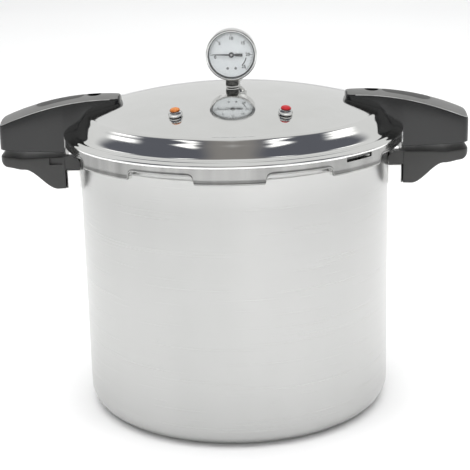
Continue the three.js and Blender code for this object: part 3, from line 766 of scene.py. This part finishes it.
# ------------------------------------------------------------------ handles
def half_width(x):
    return min(HANDLE_HALF, NECK_HALF + HANDLE_FLARE * (x - NECK_X))


def end_round(radius, distance):
    """How much a rounded end draws a surface in, at a distance from the end."""
    if distance >= radius:
        return 0
    return radius - math.sqrt(max(0, radius ** 2 - (radius - distance) ** 2))


def handle_ring(x, half, top, crown, low, upper_round=1.7, lower_round=1.2):
    """A handle's cross-section at x: crowned top, rounded corners."""
    slope = math.atan(2 * crown / half)
    knee = half - upper_round * (1 - math.sin(slope))
    crest = [(knee * t, top - crown * (knee * t / half) ** 2) for t in [1 - i / 8 for i in range(17)]]
    drop = crest[0][1] - upper_round * math.cos(slope)
    left = arc(-half + upper_round, drop, upper_round, 90 + math.degrees(slope), 180, 5)[1:]
    foot_left = arc(-half + lower_round, low + lower_round, lower_round, 180, 270, 4)
    foot_right = arc(half - lower_round, low + lower_round, lower_round, 270, 360, 4)
    right = arc(half - upper_round, drop, upper_round, 0, 90 - math.degrees(slope), 5)[:-1]
    return [(x, y, z) for y, z in [*crest, *left, *foot_left, *foot_right, *right]]


def stations(low, high, low_round, high_round, middle):
    """Places along a handle, closer together at its rounded ends."""
    steps = 8
    start = [low + low_round * (1 - math.cos(math.pi / 2 * i / steps)) for i in range(steps)]
    stop = [high - high_round * (1 - math.cos(math.pi / 2 * i / steps)) for i in range(steps)]
    inner = [low + low_round + (high - high_round - low - low_round) * i / middle for i in range(middle + 1)]
    return [*start, *inner, *reversed(stop)]


def crest_z(x):
    """Height of a lid handle's crown along its middle."""
    return CREST_Z - (x - CREST_X) ** 2 / (2 * CREST_ARC)


def inlay_shape(grow, deep):
    """The grip panel let into a lid handle, grown all round and carried down by deep."""
    def half(x):
        wide = min(14, 8 + 6 * (x - INLAY_IN) / 40)
        outer = math.sqrt(max(0.0, 1 - max(0, (x - INLAY_OUT + 10.4) / 10.6) ** 2))
        inner = math.sqrt(max(0.0, 1 - max(0, (INLAY_IN + 7 - x) / 7.2) ** 2))
        return wide * outer * inner

    rings = []
    for x in stations(INLAY_IN, INLAY_OUT, 7, 10, 14):
        h = half(x) + grow
        slope = CROWN / half_width(x) ** 2
        rise = grow * 4 - 0.3
        top = [(x, h * t, crest_z(x) - slope * (h * t) ** 2 + rise) for t in [1 - i / 5 for i in range(11)]]
        rings.append([*top, (x, -h, crest_z(x) - deep - 1.2), (x, h, crest_z(x) - deep - 1.2)])
    return loft(rings)


def lid_handle(name, side):
    rings = []
    for x in stations(HANDLE_TIP + 0.12, HANDLE_OUT - 0.2, 6, 8, 30):
        inner, outer = x - HANDLE_TIP, HANDLE_OUT - x
        half = half_width(x) - end_round(6, inner) - end_round(8, outer)
        top = crest_z(x) - end_round(2.5, inner) - end_round(2.2, outer)
        rings.append(handle_ring(x, half, top, CROWN, SKIRT_LOW + 0.07 * max(0, x - 171), 2))
    shell = make(f"lid_handle_shell_{name}", [sided(loft(rings), side)], LOOK["lid_handle_plastic"])
    outline = [(r + SEAT, z + SEAT) for r, z in lid_outline()]
    outline[0] = (0, DOME_TOP + SEAT)
    widest = max(range(len(outline)), key=lambda i: outline[i][0])
    envelope = [*outline[:widest + 1], (outline[widest][0], 200), (0, 200)]
    carve(shell, [turned(envelope, 240)])
    bore = [(0, 290), (SCREW_HOLE_R, 290), (SCREW_HOLE_R, 314), (7, 314), (7, 330), (0, 330)]
    carve(shell, [sided(moved(turned(bore, 48), at(SCREW_X, 0, 0)), side)])
    carve(shell, [sided(inlay_shape(GAP, 2.4), side)])
    shell.data.materials.append(HANDLE_TOP_SHEEN_LOOK)
    shell.data.materials.append(HANDLE_RIM_HIGHLIGHT_LOOK)
    # Faces on the top take the material with the painted sheen; faces on the rounded edge round the top take
    # the material with the painted highlight.
    for face in shell.data.polygons:
        place = abs(face.center.x) / MM
        above = face.center.z / MM > crest_z(place) - CROWN - 2.2
        if above and face.normal.z > 0.80:
            face.material_index = 1
        # The rounded edge below the top: its lighter colour is a painted highlight line.
        elif above and face.normal.z > 0.42 and place > HANDLE_TIP + 8:
            face.material_index = 2
    stand_for(shell, "lid_handle_plastic", f"lid_handle_{name}")
    panel = make(f"handle_panel_{name}", [sided(inlay_shape(0, 1.6), side)], LOOK["inlay_plastic"])
    bevel(panel, 0.5, 3, 50)
    stand_for(panel, "inlay_plastic", f"handle_inlay_{name}")


def lid_screw(name, side):
    low, high = span(f"lid_handle_screw_{name}")
    z = high.z
    profile = [(0, low.z), (2.4, low.z + 0.8), (2.4, z - 3.5), (5.2, z - 3.5), (5.4, z - 3.2),
               (5.4, z - 2.0), *curve([(5.2, z - 1.5), (4, z - 0.5), (2, z - 0.1), (0, z)], 4)]
    screw = make(f"lid_screw_{name}", [turned(profile, 40)], LOOK["steel"])
    for x, y in ((3.4, 0.6), (0.6, 3.4)):
        carve(screw, [block((-x, -y, z - 1.5), (x, y, z + 1))])
    screw.location.x = side * SCREW_X * MM
    stand_for(screw, "steel", f"lid_handle_screw_{name}")


def lower_underside(x):
    """Height of a body handle's underside, which steps up towards its outer end."""
    return lower_low.z + 21.6 * smoothstep(179, 212, x) + 3 * smoothstep(212, 230, x)


def body_handle(name, side):
    rings = []
    for x in stations(bracket_high.x + GAP, HANDLE_OUT - 0.2, 0.1, 9, 44):
        away = HANDLE_OUT - x
        top = LOWER_TOP + 0.15 * max(0, x - 214) - end_round(1.5, away)
        half = half_width(x) - end_round(9, away)
        rings.append(handle_ring(x, half, top, 0.6, lower_underside(x) + end_round(8, away), 1.7, 1.6))
    shell = make(f"body_handle_shell_{name}", [sided(loft(rings), side)], LOOK["body_handle_plastic"])
    lobe = [(LOBE_X + 7.5, LOWER_TOP - 0.4), (LOBE_X, LOWER_TOP - 0.8)]
    lobe += [(LOBE_X - 12 * math.cos(a), LOBE_Z + 13.2 * math.sin(a)) for a in
             [math.radians(90 - 7.5 * i) for i in range(1, 12)]]
    lobe += [(LOBE_X - 12, LOBE_Z), (LOBE_X + 7.5, LOBE_Z)]
    half = 21.4
    nose = moved(prism(lobe, -half, half), turn(90, "X"))
    carve(shell, [sided(nose, side)], "UNION")
    clear = [(0, 200), (POT_R + GAP, 200), (POT_R + GAP, RIM_LOW - 1), (RIM_R + GAP, RIM_LOW),
             (RIM_R + GAP, 300), (0, 300)]
    carve(shell, [turned(clear, 240)])
    hole = rod(SCREW_HOLE_R, 160, 188, 24)
    carve(shell, [sided(moved(hole, at(0, 0, BRACKET_SCREW_Z), turn(90, "Y")), side)])
    if side < 0:
        recess = block((LOBE_X + 8.2, -40, LOWER_TOP - 8), (LOBE_X + 21, -20.5, LOWER_TOP - 1.8))
        carve(shell, [moved(recess, MIRROR)])
    stand_for(shell, "body_handle_plastic", f"body_handle_{name}")


def bracket(name, side):
    out, half = bracket_high.x, bracket_high.y
    root, bend, wall = 150, 3.2, 2.5
    x, y = out - bend, half - bend
    outline = [(root, -half), *arc(x, -y, bend, -90, 0, 6), *arc(x, y, bend, 0, 90, 6), (root, half),
               (root, half - wall), *arc(x, y, bend - wall, 90, 0, 4), *arc(x, -y, bend - wall, 0, -90, 4),
               (root, wall - half)]
    channel = make(f"bracket_channel_{name}", [sided(prism(outline, bracket_low.z, bracket_high.z), side)],
                   LOOK["bracket_aluminium"])
    carve(channel, [rod(POT_R + GAP, 200, 260, 240)])
    hole = rod(SCREW_HOLE_R, 160, 175, 24)
    carve(channel, [sided(moved(hole, at(0, 0, BRACKET_SCREW_Z), turn(90, "Y")), side)])
    bevel(channel, 0.35, 2, 50)
    stand_for(channel, "bracket_aluminium", f"handle_bracket_{name}")


# ------------------------------------------------------------------ gauge
def facing_front(shape):
    """Stands a shape drawn flat upright at the gauge's centre, its +Z towards -Y."""
    return moved(shape, at(0, 0, GAUGE_Z), turn(90, "X"))


def gauge_case():
    back, front, r = -case_high.y, -case_low.y, case_high.x
    profile = [(0, back), (r - 4, back), *arc(r - 3, back + 3, 3, -70, 0, 6), (r, front), (r - 1.2, front),
               (r - 1.2, back + 3), (r - 3, back + 1.2), (0, back + 1.2)]
    case = make("gauge_can", [facing_front(turned(profile, 96))], LOOK["chrome"])
    carve(case, [moved(rod(5.9, GAUGE_Z - 30, GAUGE_Z - 12), at(0, STEM_Y, 0))])
    stand_for(case, "chrome", "gauge_case")


def gauge_bezel():
    back, front, r = -bezel_high.y, -bezel_low.y, bezel_high.x
    profile = [(r - 0.3, back), *arc(r - 0.3, back + 0.3, 0.3, -60, 0, 2),
               *arc(r - 1.5, front - 1.5, 1.5, 0, 90, 7),
               *curve([(r - 1.8, front - 0.05), (r - 2.1, front - 0.5), (r - 2.2, front - 1.2)], 3),
               (r - 2.2, back + 2.6), (r - 0.35, back + 2.6), (r - 0.35, back)]
    bezel = make("gauge_bezel_ring", [facing_front(turned(profile, 120, loop=True))], LOOK["chrome"])
    stand_for(bezel, "chrome", "gauge_bezel")


def gauge_lens():
    low, high = span("gauge_lens")
    r, back, front = high.x, -high.y, -low.y
    profile = [(0, back), (r - 0.2, back), (r, back + 0.2), (r, front - 0.3),
               *curve([(r - 0.3, front), (r * 0.6, front + 0.25), (0, front + 0.4)], 6)]
    lens = make("gauge_glass", [facing_front(turned(profile, 96))], LOOK["glass"])
    stand_for(lens, "glass", "gauge_lens")


def polar(radius, degrees):
    a = math.radians(degrees)
    return radius * math.cos(a), radius * math.sin(a)


def mark(inner, outer, degrees, half):
    """A printed tick that points at the dial's centre."""
    flat = [(inner, -half), (outer, -half), (outer, half), (inner, half)]
    return moved(prism(flat, 0, PRINT), turn(degrees, "Z"))


def figure(text, x, y, size, face):
    """A numeral on the dial, as a mesh. face is the place of the dial's front, in metres."""
    letters = bpy.data.curves.new("numeral", "FONT")
    letters.body = text
    letters.size = size * MM
    letters.align_x = "CENTER"
    letters.align_y = "CENTER"
    letters.extrude = PRINT / 2 * MM
    letters.offset = 0.13 * MM
    holder = bpy.data.objects.new("numeral", letters)
    bpy.context.scene.collection.objects.link(holder)
    bpy.context.view_layer.update()
    mesh = bpy.data.meshes.new_from_object(holder.evaluated_get(bpy.context.evaluated_depsgraph_get()))
    bpy.data.objects.remove(holder)
    mesh.transform(at(x * MM, face, (GAUGE_Z + y) * MM) @ turn(90, "X"))
    mesh.materials.append(LOOK["pointer_black"])
    obj = bpy.data.objects.new(f"dial_numeral_{text}", mesh)
    bpy.context.scene.collection.objects.link(obj)
    return obj


def dial_ticks(r, grow, zero, per_unit):
    """The scale's ticks, the arc along them and the ring round the dial."""
    ticks = []
    for i in range(51):
        long = i % 10 == 0
        medium = i % 2 == 0
        inner = 17.6 if long else 18.6 if medium else 19.2
        ticks.append(mark(inner * grow, 20.3 * grow, zero - i * per_unit / 2, 0.24 if long else 0.13))
    ticks.append(prism([*(polar(20.45 * grow, a) for a in range(180, -46, -5)),
                        *(polar(20.25 * grow, a) for a in range(-45, 181, 5))], 0, PRINT))
    ticks.append(turned([(r - 0.9, 0), (r - 0.1, 0), (r - 0.1, PRINT), (r - 0.9, PRINT)], 96, loop=True))
    return ticks


def gauge_dial():
    low, high = span("gauge_dial")
    r, back, front = high.x, -high.y, -low.y
    profile = [(1.3, back), (r, back), (r, front - 0.1), (r - 0.1, front), (1.3, front)]
    plate = make("dial_plate", [facing_front(turned(profile, 96, loop=True))], LOOK["dial_enamel"])
    stand_for(plate, "dial_enamel", "gauge_dial")
    zero, per_unit = 180, 9
    grow = r / PRINTED_DIAL_R
    caution = [*(polar(15.4, a) for a in range(-12, -46, -3)), *(polar(14.4, a) for a in range(-45, -11, 3))]
    rivets = [moved(rod(1.35, 0, PRINT, 24), at(x, -13.6, 0)) for x in (-4, 4)]
    for name, shapes, look in (("dial_scale", dial_ticks(r, grow, zero, per_unit), LOOK["pointer_black"]),
                               ("dial_caution_arc", [prism(caution, 0, PRINT)], LOOK["pointer_black"]),
                               ("dial_rivets", rivets, RIVET_LOOK)):
        printed = make(name, [moved(facing_front(s), at(0, -front, 0)) for s in shapes], look)
        belong(printed, "lid")
    face = -(front + PRINT / 2) * MM
    for value in range(0, 26, 5):
        degrees = zero + 8 if value == 0 else zero - value * per_unit
        x, y = polar((15.6 if value < 25 else 16.4) * grow, degrees)
        belong(figure(str(value), x, y, 4.4, face), "lid")


def gauge_pointer():
    front = -span("gauge_pointer")[0].y
    upper_edge = [(11.2, 1.2), (11, 1.45), (4.2, 1.35), (3.5, 0.85), (-2, 0.75), (-18.6, 0.24)]
    blade = [(-18.8, 0), *((x, -y) for x, y in reversed(upper_edge)), *upper_edge]
    hub = [(0, front - 1.4), (2.7, front - 1.4), *arc(2.3, front - 0.4, 0.4, 0, 90, 3), (1.5, front),
           (1.35, front - 0.25), (0, front - 0.25)]
    arbor = [(0, front - 8.7), (0.75, front - 8.7), (0.75, front - 0.9), (0, front - 0.9)]
    shapes = [prism(blade, front - 1.1, front - 0.4), turned(hub, 40), turned(arbor, 16)]
    set_down = [facing_front(moved(s, turn(-1.5, "Z"))) for s in shapes]
    needle = make("gauge_needle", set_down, LOOK["pointer_black"])
    stand_for(needle, "pointer_black", "gauge_pointer")
    pin = [(0, front - 0.24), (1.1, front - 0.24), (1.0, front - 0.1), (0, front - 0.02)]
    belong(make("needle_pin", [facing_front(turned(pin, 24))], LOOK["steel"]), "pointer")


def gauge_stem():
    low = span("gauge_socket")[0]
    base = dome_z(abs(STEM_Y))
    under = case_low.z - GAP
    hexagon = [polar(7.3, 30 + 60 * i) for i in range(6)]
    chamfer = turned([(0, base + 2.2), (6.5, base + 2.2), (7.3, base + 3), (7.3, under - 0.8),
                      (6.5, under), (0, under)], 48)
    nut = make("stem_hexagon", [prism(hexagon, base + 2.2, under)], LOOK["gauge_steel"])
    carve(nut, [chamfer], "INTERSECT")
    nut.location = (0, STEM_Y * MM, 0)
    stand_for(nut, "gauge_steel", "gauge_socket")
    thread = []
    z = low.z
    while z < base + 2.4:
        thread += [(4.35, z), (4.8, z + 0.35), (4.8, z + 0.55), (4.35, z + 0.9)]
        z += 1
    shank = turned([(0, low.z), *thread, (4.35, base + 2.6), (0, base + 2.6)], 32)
    neck = rod(5.4, under - 0.4, GAUGE_Z - 17.6)
    inner = block((-4, -2.6, GAUGE_Z - 20.6), (5, 2.6, GAUGE_Z - 14.6))
    for name, shape in (("stem_shank", shank), ("stem_neck", neck), ("stem_block", inner)):
        part = make(name, [moved(shape, at(0, STEM_Y, 0))], LOOK["gauge_steel"])
        belong(part, "lid")
    washer = [(5.2, base + 0.4), (6.4, base + 0.4), (6.7, base + 0.7), (6.7, base + 1.6),
              (6.4, base + 1.9), (5.2, base + 1.9)]
    ring = make("stem_washer", [moved(turned(washer, 48, loop=True), at(0, STEM_Y, 0))], LOOK["chrome"])
    stand_for(ring, "chrome", "gauge_washer")


# ------------------------------------------------------------------ vent and regulator
def regulator():
    base = dome_z(math.hypot(VENT.x, VENT.y))

    def stand(profile, sides=56, loop=False):
        """Turns a profile whose heights start at the dome, round the vent's axis."""
        return moved(turned([(r, base + z) for r, z in profile], sides, loop), at(VENT.x, VENT.y, 0))

    pipe = [(1.3, -12), (3.1, -12), (3.1, 0.4), (4, 0.4), (4.3, 0.7), (4.3, 1.5), (4, 1.8), (3, 2.2),
            (3, 14.6), (2.6, 15.4), (1.3, 17)]
    stand_for(make("vent_tube", [stand(pipe, 48, True)], LOOK["chrome"]), "chrome", "vent_pipe")
    weight = [(0, 17.4), (1.2, 17.4), (3.5, 15.1), (3.5, 2.6), (4.8, 2.6), (5.4, 2.9), (10.2, 9.1),
              *arc(10.2, 10.8, 1.2, -40, 0, 4), *arc(10.4, 33, 1, 0, 90, 5), (3, 34), (3, 37), (0, 37)]
    stand_for(make("regulator_body", [stand(weight)], LOOK["chrome"]), "chrome", "regulator_weight")
    cap = [(0, 37.4), (3.4, 37.4), (3.4, 34.4), (8.4, 34.4), *arc(8.6, 35.4, 0.6, -60, 20, 4),
           *arc(7.2, 42.4, 1.6, 10, 80, 5), (4, 44.2), (0, 44.4)]
    knob = make("regulator_knob", [stand(cap)], LOOK["body_handle_plastic"])
    stand_for(knob, "lid_handle_plastic", "regulator_cap")


# ------------------------------------------------------------------ plug and pressure indicator
def collar(bore):
    """Half section of a chrome seat. Heights start at the dome."""
    return [(bore, 0.45), (6.6, 0.45), *arc(6.6, 0.8, 0.35, -90, 0, 3),
            *curve([(6.95, 1.7), (6.78, 2.9), (6.25, 4.2), (5.5, 5.3), (4.9, 5.6)], 5), (bore, 5.6)]


HEAD = [(4.5, 5.95), (4.85, 6.15), *curve([(4.9, 6.5), (4.6, 7.1), (3.6, 7.9), (1.8, 8.3), (0, 8.4)], 5)]


def valves():
    seats = (("plug_seat", "plug_collar", 3.6, -1), ("indicator_seat", "indicator_collar", 2.95, 1))
    for name, node, bore, side in seats:
        ring = on_dome(turned(collar(bore), 48, loop=True), side * VALVE_X, VALVE_Y)
        stand_for(make(name, [ring], LOOK["chrome"]), "chrome", node)
    plug = [(0, -8.2), (3.2, -7.6), (5.4, -3.4), (3.3, -3.2), (3.3, 5.95), *HEAD]
    part = make("rubber_plug", [on_dome(turned(plug, 40), -VALVE_X, VALVE_Y)], LOOK["amber_silicone"])
    stand_for(part, "amber_silicone", "overpressure_plug")
    pin = [(0, -11.2), (4.5, -11.2), (4.8, -10.9), (4.8, -10.1), (4.5, -9.8), (2.6, -9.6),
           (2.6, 5.95), *HEAD]
    part = make("indicator_stem", [on_dome(turned(pin, 40), VALVE_X, VALVE_Y)], LOOK["red_silicone"])
    stand_for(part, "red_silicone", "indicator_pin")
    seal = [*arc(3.3, -3.5, 0.4, 90, 270, 5), *arc(4.8, -3.5, 0.4, 270, 450, 5)]
    part = make("indicator_gasket", [on_dome(turned(seal, 40, loop=True), VALVE_X, VALVE_Y)], LOOK["rubber"])
    stand_for(part, "rubber", "indicator_seal")


# ------------------------------------------------------------------ the object
pot()
lid()
gasket()
rack()
for label, which in SIDES:
    body_handle(label, which)
    bracket(label, which)
    lid_handle(label, which)
    lid_screw(label, which)
gauge_case()
gauge_bezel()
gauge_lens()
gauge_dial()
gauge_pointer()
gauge_stem()
regulator()
valves()

# CAD nodes that show as they are, by slot
KEPT = {
    "brass": ["pointer_pinion", "sector_gear", "movement_front_plate", "movement_back_plate", "bourdon_tube",
              "bourdon_link"],
    "steel": ["gauge_nut", "vent_pipe_nut"],
}
for label, which in SIDES:
    KEPT["steel"] += [f"body_handle_screw_{label}", f"body_handle_washer_{label}", f"lid_handle_nut_{label}"]
for slot_name, node_names in KEPT.items():
    for node_name in node_names:
        kept = frame["nodes"][node_name]
        kept.data.materials.clear()
        kept.data.materials.append(LOOK[slot_name])


# ------------------------------------------------------------------ floor, light and camera
def floor():
    paint = Paint("floor_paint", IOR=1.4)
    cloud = paint.noise(paint.stretched(0.6, 0.6, 0.6), 1.0, 2)
    paint.colour(cloud, (0.87, 0.87, 0.868), (0.90, 0.90, 0.898))
    paint.rough(cloud, 0.85, 0.95)
    far = 12000
    corners = [(-far, -far, 0), (far, -far, 0), (far, far, 0), (-far, far, 0)]
    sheet = make("studio_floor", [(corners, [(0, 1, 2, 3)])], paint.material)
    sheet.location.z = -0.0004


def aim(azimuth, elevation):
    """Direction from the object. Azimuth 0 is the front and 90 the right."""
    a, e = math.radians(azimuth), math.radians(elevation)
    return Vector((math.sin(a) * math.cos(e), -math.cos(a) * math.cos(e), math.sin(e)))


def sky():
    """A pale studio all round, dim high in front, with four soft panels that the polished lid mirrors."""
    world = bpy.data.worlds.new("studio")
    bpy.context.scene.world = world
    world.use_nodes = True
    tree = world.node_tree
    background = tree.nodes["Background"]
    place = tree.nodes.new("ShaderNodeTexCoord")
    parts = tree.nodes.new("ShaderNodeSeparateXYZ")
    tree.links.new(place.outputs["Generated"], parts.inputs["Vector"])

    def step(value, low, high):
        node = tree.nodes.new("ShaderNodeMapRange")
        node.interpolation_type = "SMOOTHSTEP"
        tree.links.new(value, node.inputs["Value"])
        node.inputs["From Min"].default_value = low
        node.inputs["From Max"].default_value = high
        return node.outputs["Result"]

    def blend(factor, first, second):
        node = tree.nodes.new("ShaderNodeMix")
        node.data_type = "RGBA"
        tree.links.new(factor, node.inputs["Factor"])
        for socket, value in zip((node.inputs[6], node.inputs[7]), (first, second)):
            if isinstance(value, bpy.types.NodeSocket):
                tree.links.new(value, socket)
            else:
                socket.default_value = (*value, 1)
        return node.outputs[2]

    def calc(operation, a, b=0.0):
        node = tree.nodes.new("ShaderNodeMath")
        node.operation = operation
        for socket, value in zip(node.inputs, (a, b)):
            if isinstance(value, bpy.types.NodeSocket):
                tree.links.new(value, socket)
            else:
                socket.default_value = value
        return node.outputs["Value"]

    def panel(azimuth, elevation, half_width, half_height, roll):
        """1 inside a soft-edged panel of the sky, 0 outside it. Angles in degrees."""
        turned_sky = tree.nodes.new("ShaderNodeMapping")
        facing = aim(azimuth, elevation).to_track_quat("Z", "Y") @ Quaternion((0, 0, 1), math.radians(roll))
        turned_sky.inputs["Rotation"].default_value = facing.inverted().to_euler()
        tree.links.new(place.outputs["Generated"], turned_sky.inputs["Vector"])
        axes = tree.nodes.new("ShaderNodeSeparateXYZ")
        tree.links.new(turned_sky.outputs["Vector"], axes.inputs["Vector"])
        wide, high = math.sin(math.radians(half_width)), math.sin(math.radians(half_height))
        across = step(calc("ABSOLUTE", axes.outputs["X"]), wide, wide * 0.15)
        upward = step(calc("ABSOLUTE", axes.outputs["Y"]), high, high * 0.1)
        return calc("MULTIPLY", calc("MULTIPLY", across, upward), step(axes.outputs["Z"], 0.0, 0.2))

    sideways = calc("ABSOLUTE", parts.outputs["X"])
    ahead = step(calc("SUBTRACT", parts.outputs["Y"], calc("MULTIPLY", sideways, 0.85)), -0.15, -0.5)
    raised = step(parts.outputs["Z"], 0.22, 0.36)
    dim = blend(step(sideways, 0.12, 0.36), (0.25, 0.24, 0.23), (0.115, 0.12, 0.14))
    colour = blend(calc("MULTIPLY", ahead, raised), (0.74, 0.745, 0.74), dim)
    for side in (-1, 1):
        colour = blend(panel(55 * side, 60.5, 11, 4.2, 0), colour, (2.2, 2.2, 2.17))
        colour = blend(panel(107 * side, 38, 16, 4, -37 * side), colour, (2.2, 2.2, 2.17))
    tree.links.new(colour, background.inputs["Color"])
    background.inputs["Strength"].default_value = 1.0


def softbox(name, azimuth, elevation, distance, width, height, power, target=(0, 0, 0.25)):
    """An area light that looks at the target and isn't seen in reflections."""
    light = bpy.data.lights.new(name, "AREA")
    light.shape = "RECTANGLE"
    light.size = width
    light.size_y = height
    light.energy = power
    holder = bpy.data.objects.new(name, light)
    bpy.context.scene.collection.objects.link(holder)
    away = aim(azimuth, elevation)
    holder.location = Vector(target) + away * distance
    holder.rotation_mode = "QUATERNION"
    holder.rotation_quaternion = away.to_track_quat("Z", "Y")
    holder.visible_camera = False
    holder.visible_glossy = False


def camera():
    """Stands where the pot's ellipses, the handles and the dial show that the view is from."""
    azimuth, elevation, roll = 1.55, 16.507, math.radians(1.374)
    distance, target = 1.3987, Vector((-0.00096, 0, 0.1708))
    focal, sensor = 102.58, 36
    back = aim(azimuth, elevation)
    right = Vector((math.cos(math.radians(azimuth)), math.sin(math.radians(azimuth)), 0))
    up = back.cross(right)
    local_x = right * math.cos(roll) - up * math.sin(roll)
    local_y = right * math.sin(roll) + up * math.cos(roll)
    data = bpy.data.cameras.new("camera")
    data.lens = focal
    data.sensor_width = sensor
    holder = bpy.data.objects.new("camera", data)
    bpy.context.scene.collection.objects.link(holder)
    holder.matrix_world = Matrix((local_x, local_y, back)).transposed().to_4x4()
    holder.location = target + back * distance
    bpy.context.scene.camera = holder


floor()
sky()
softbox("overhead", 0, 80, 2.4, 3.2, 3.2, 88)
softbox("far_floor", 180, 88, 3.5, 5, 3, 70, (0, 3.4, 0))
softbox("fill_front", 0, 24, 2.5, 1.6, 1.0, 13)
softbox("fill_left", -60, 45, 2.2, 0.8, 0.6, 4)
softbox("fill_right", 60, 45, 2.2, 0.8, 0.6, 4)
camera()
bpy.context.scene.view_settings.view_transform = "Standard"
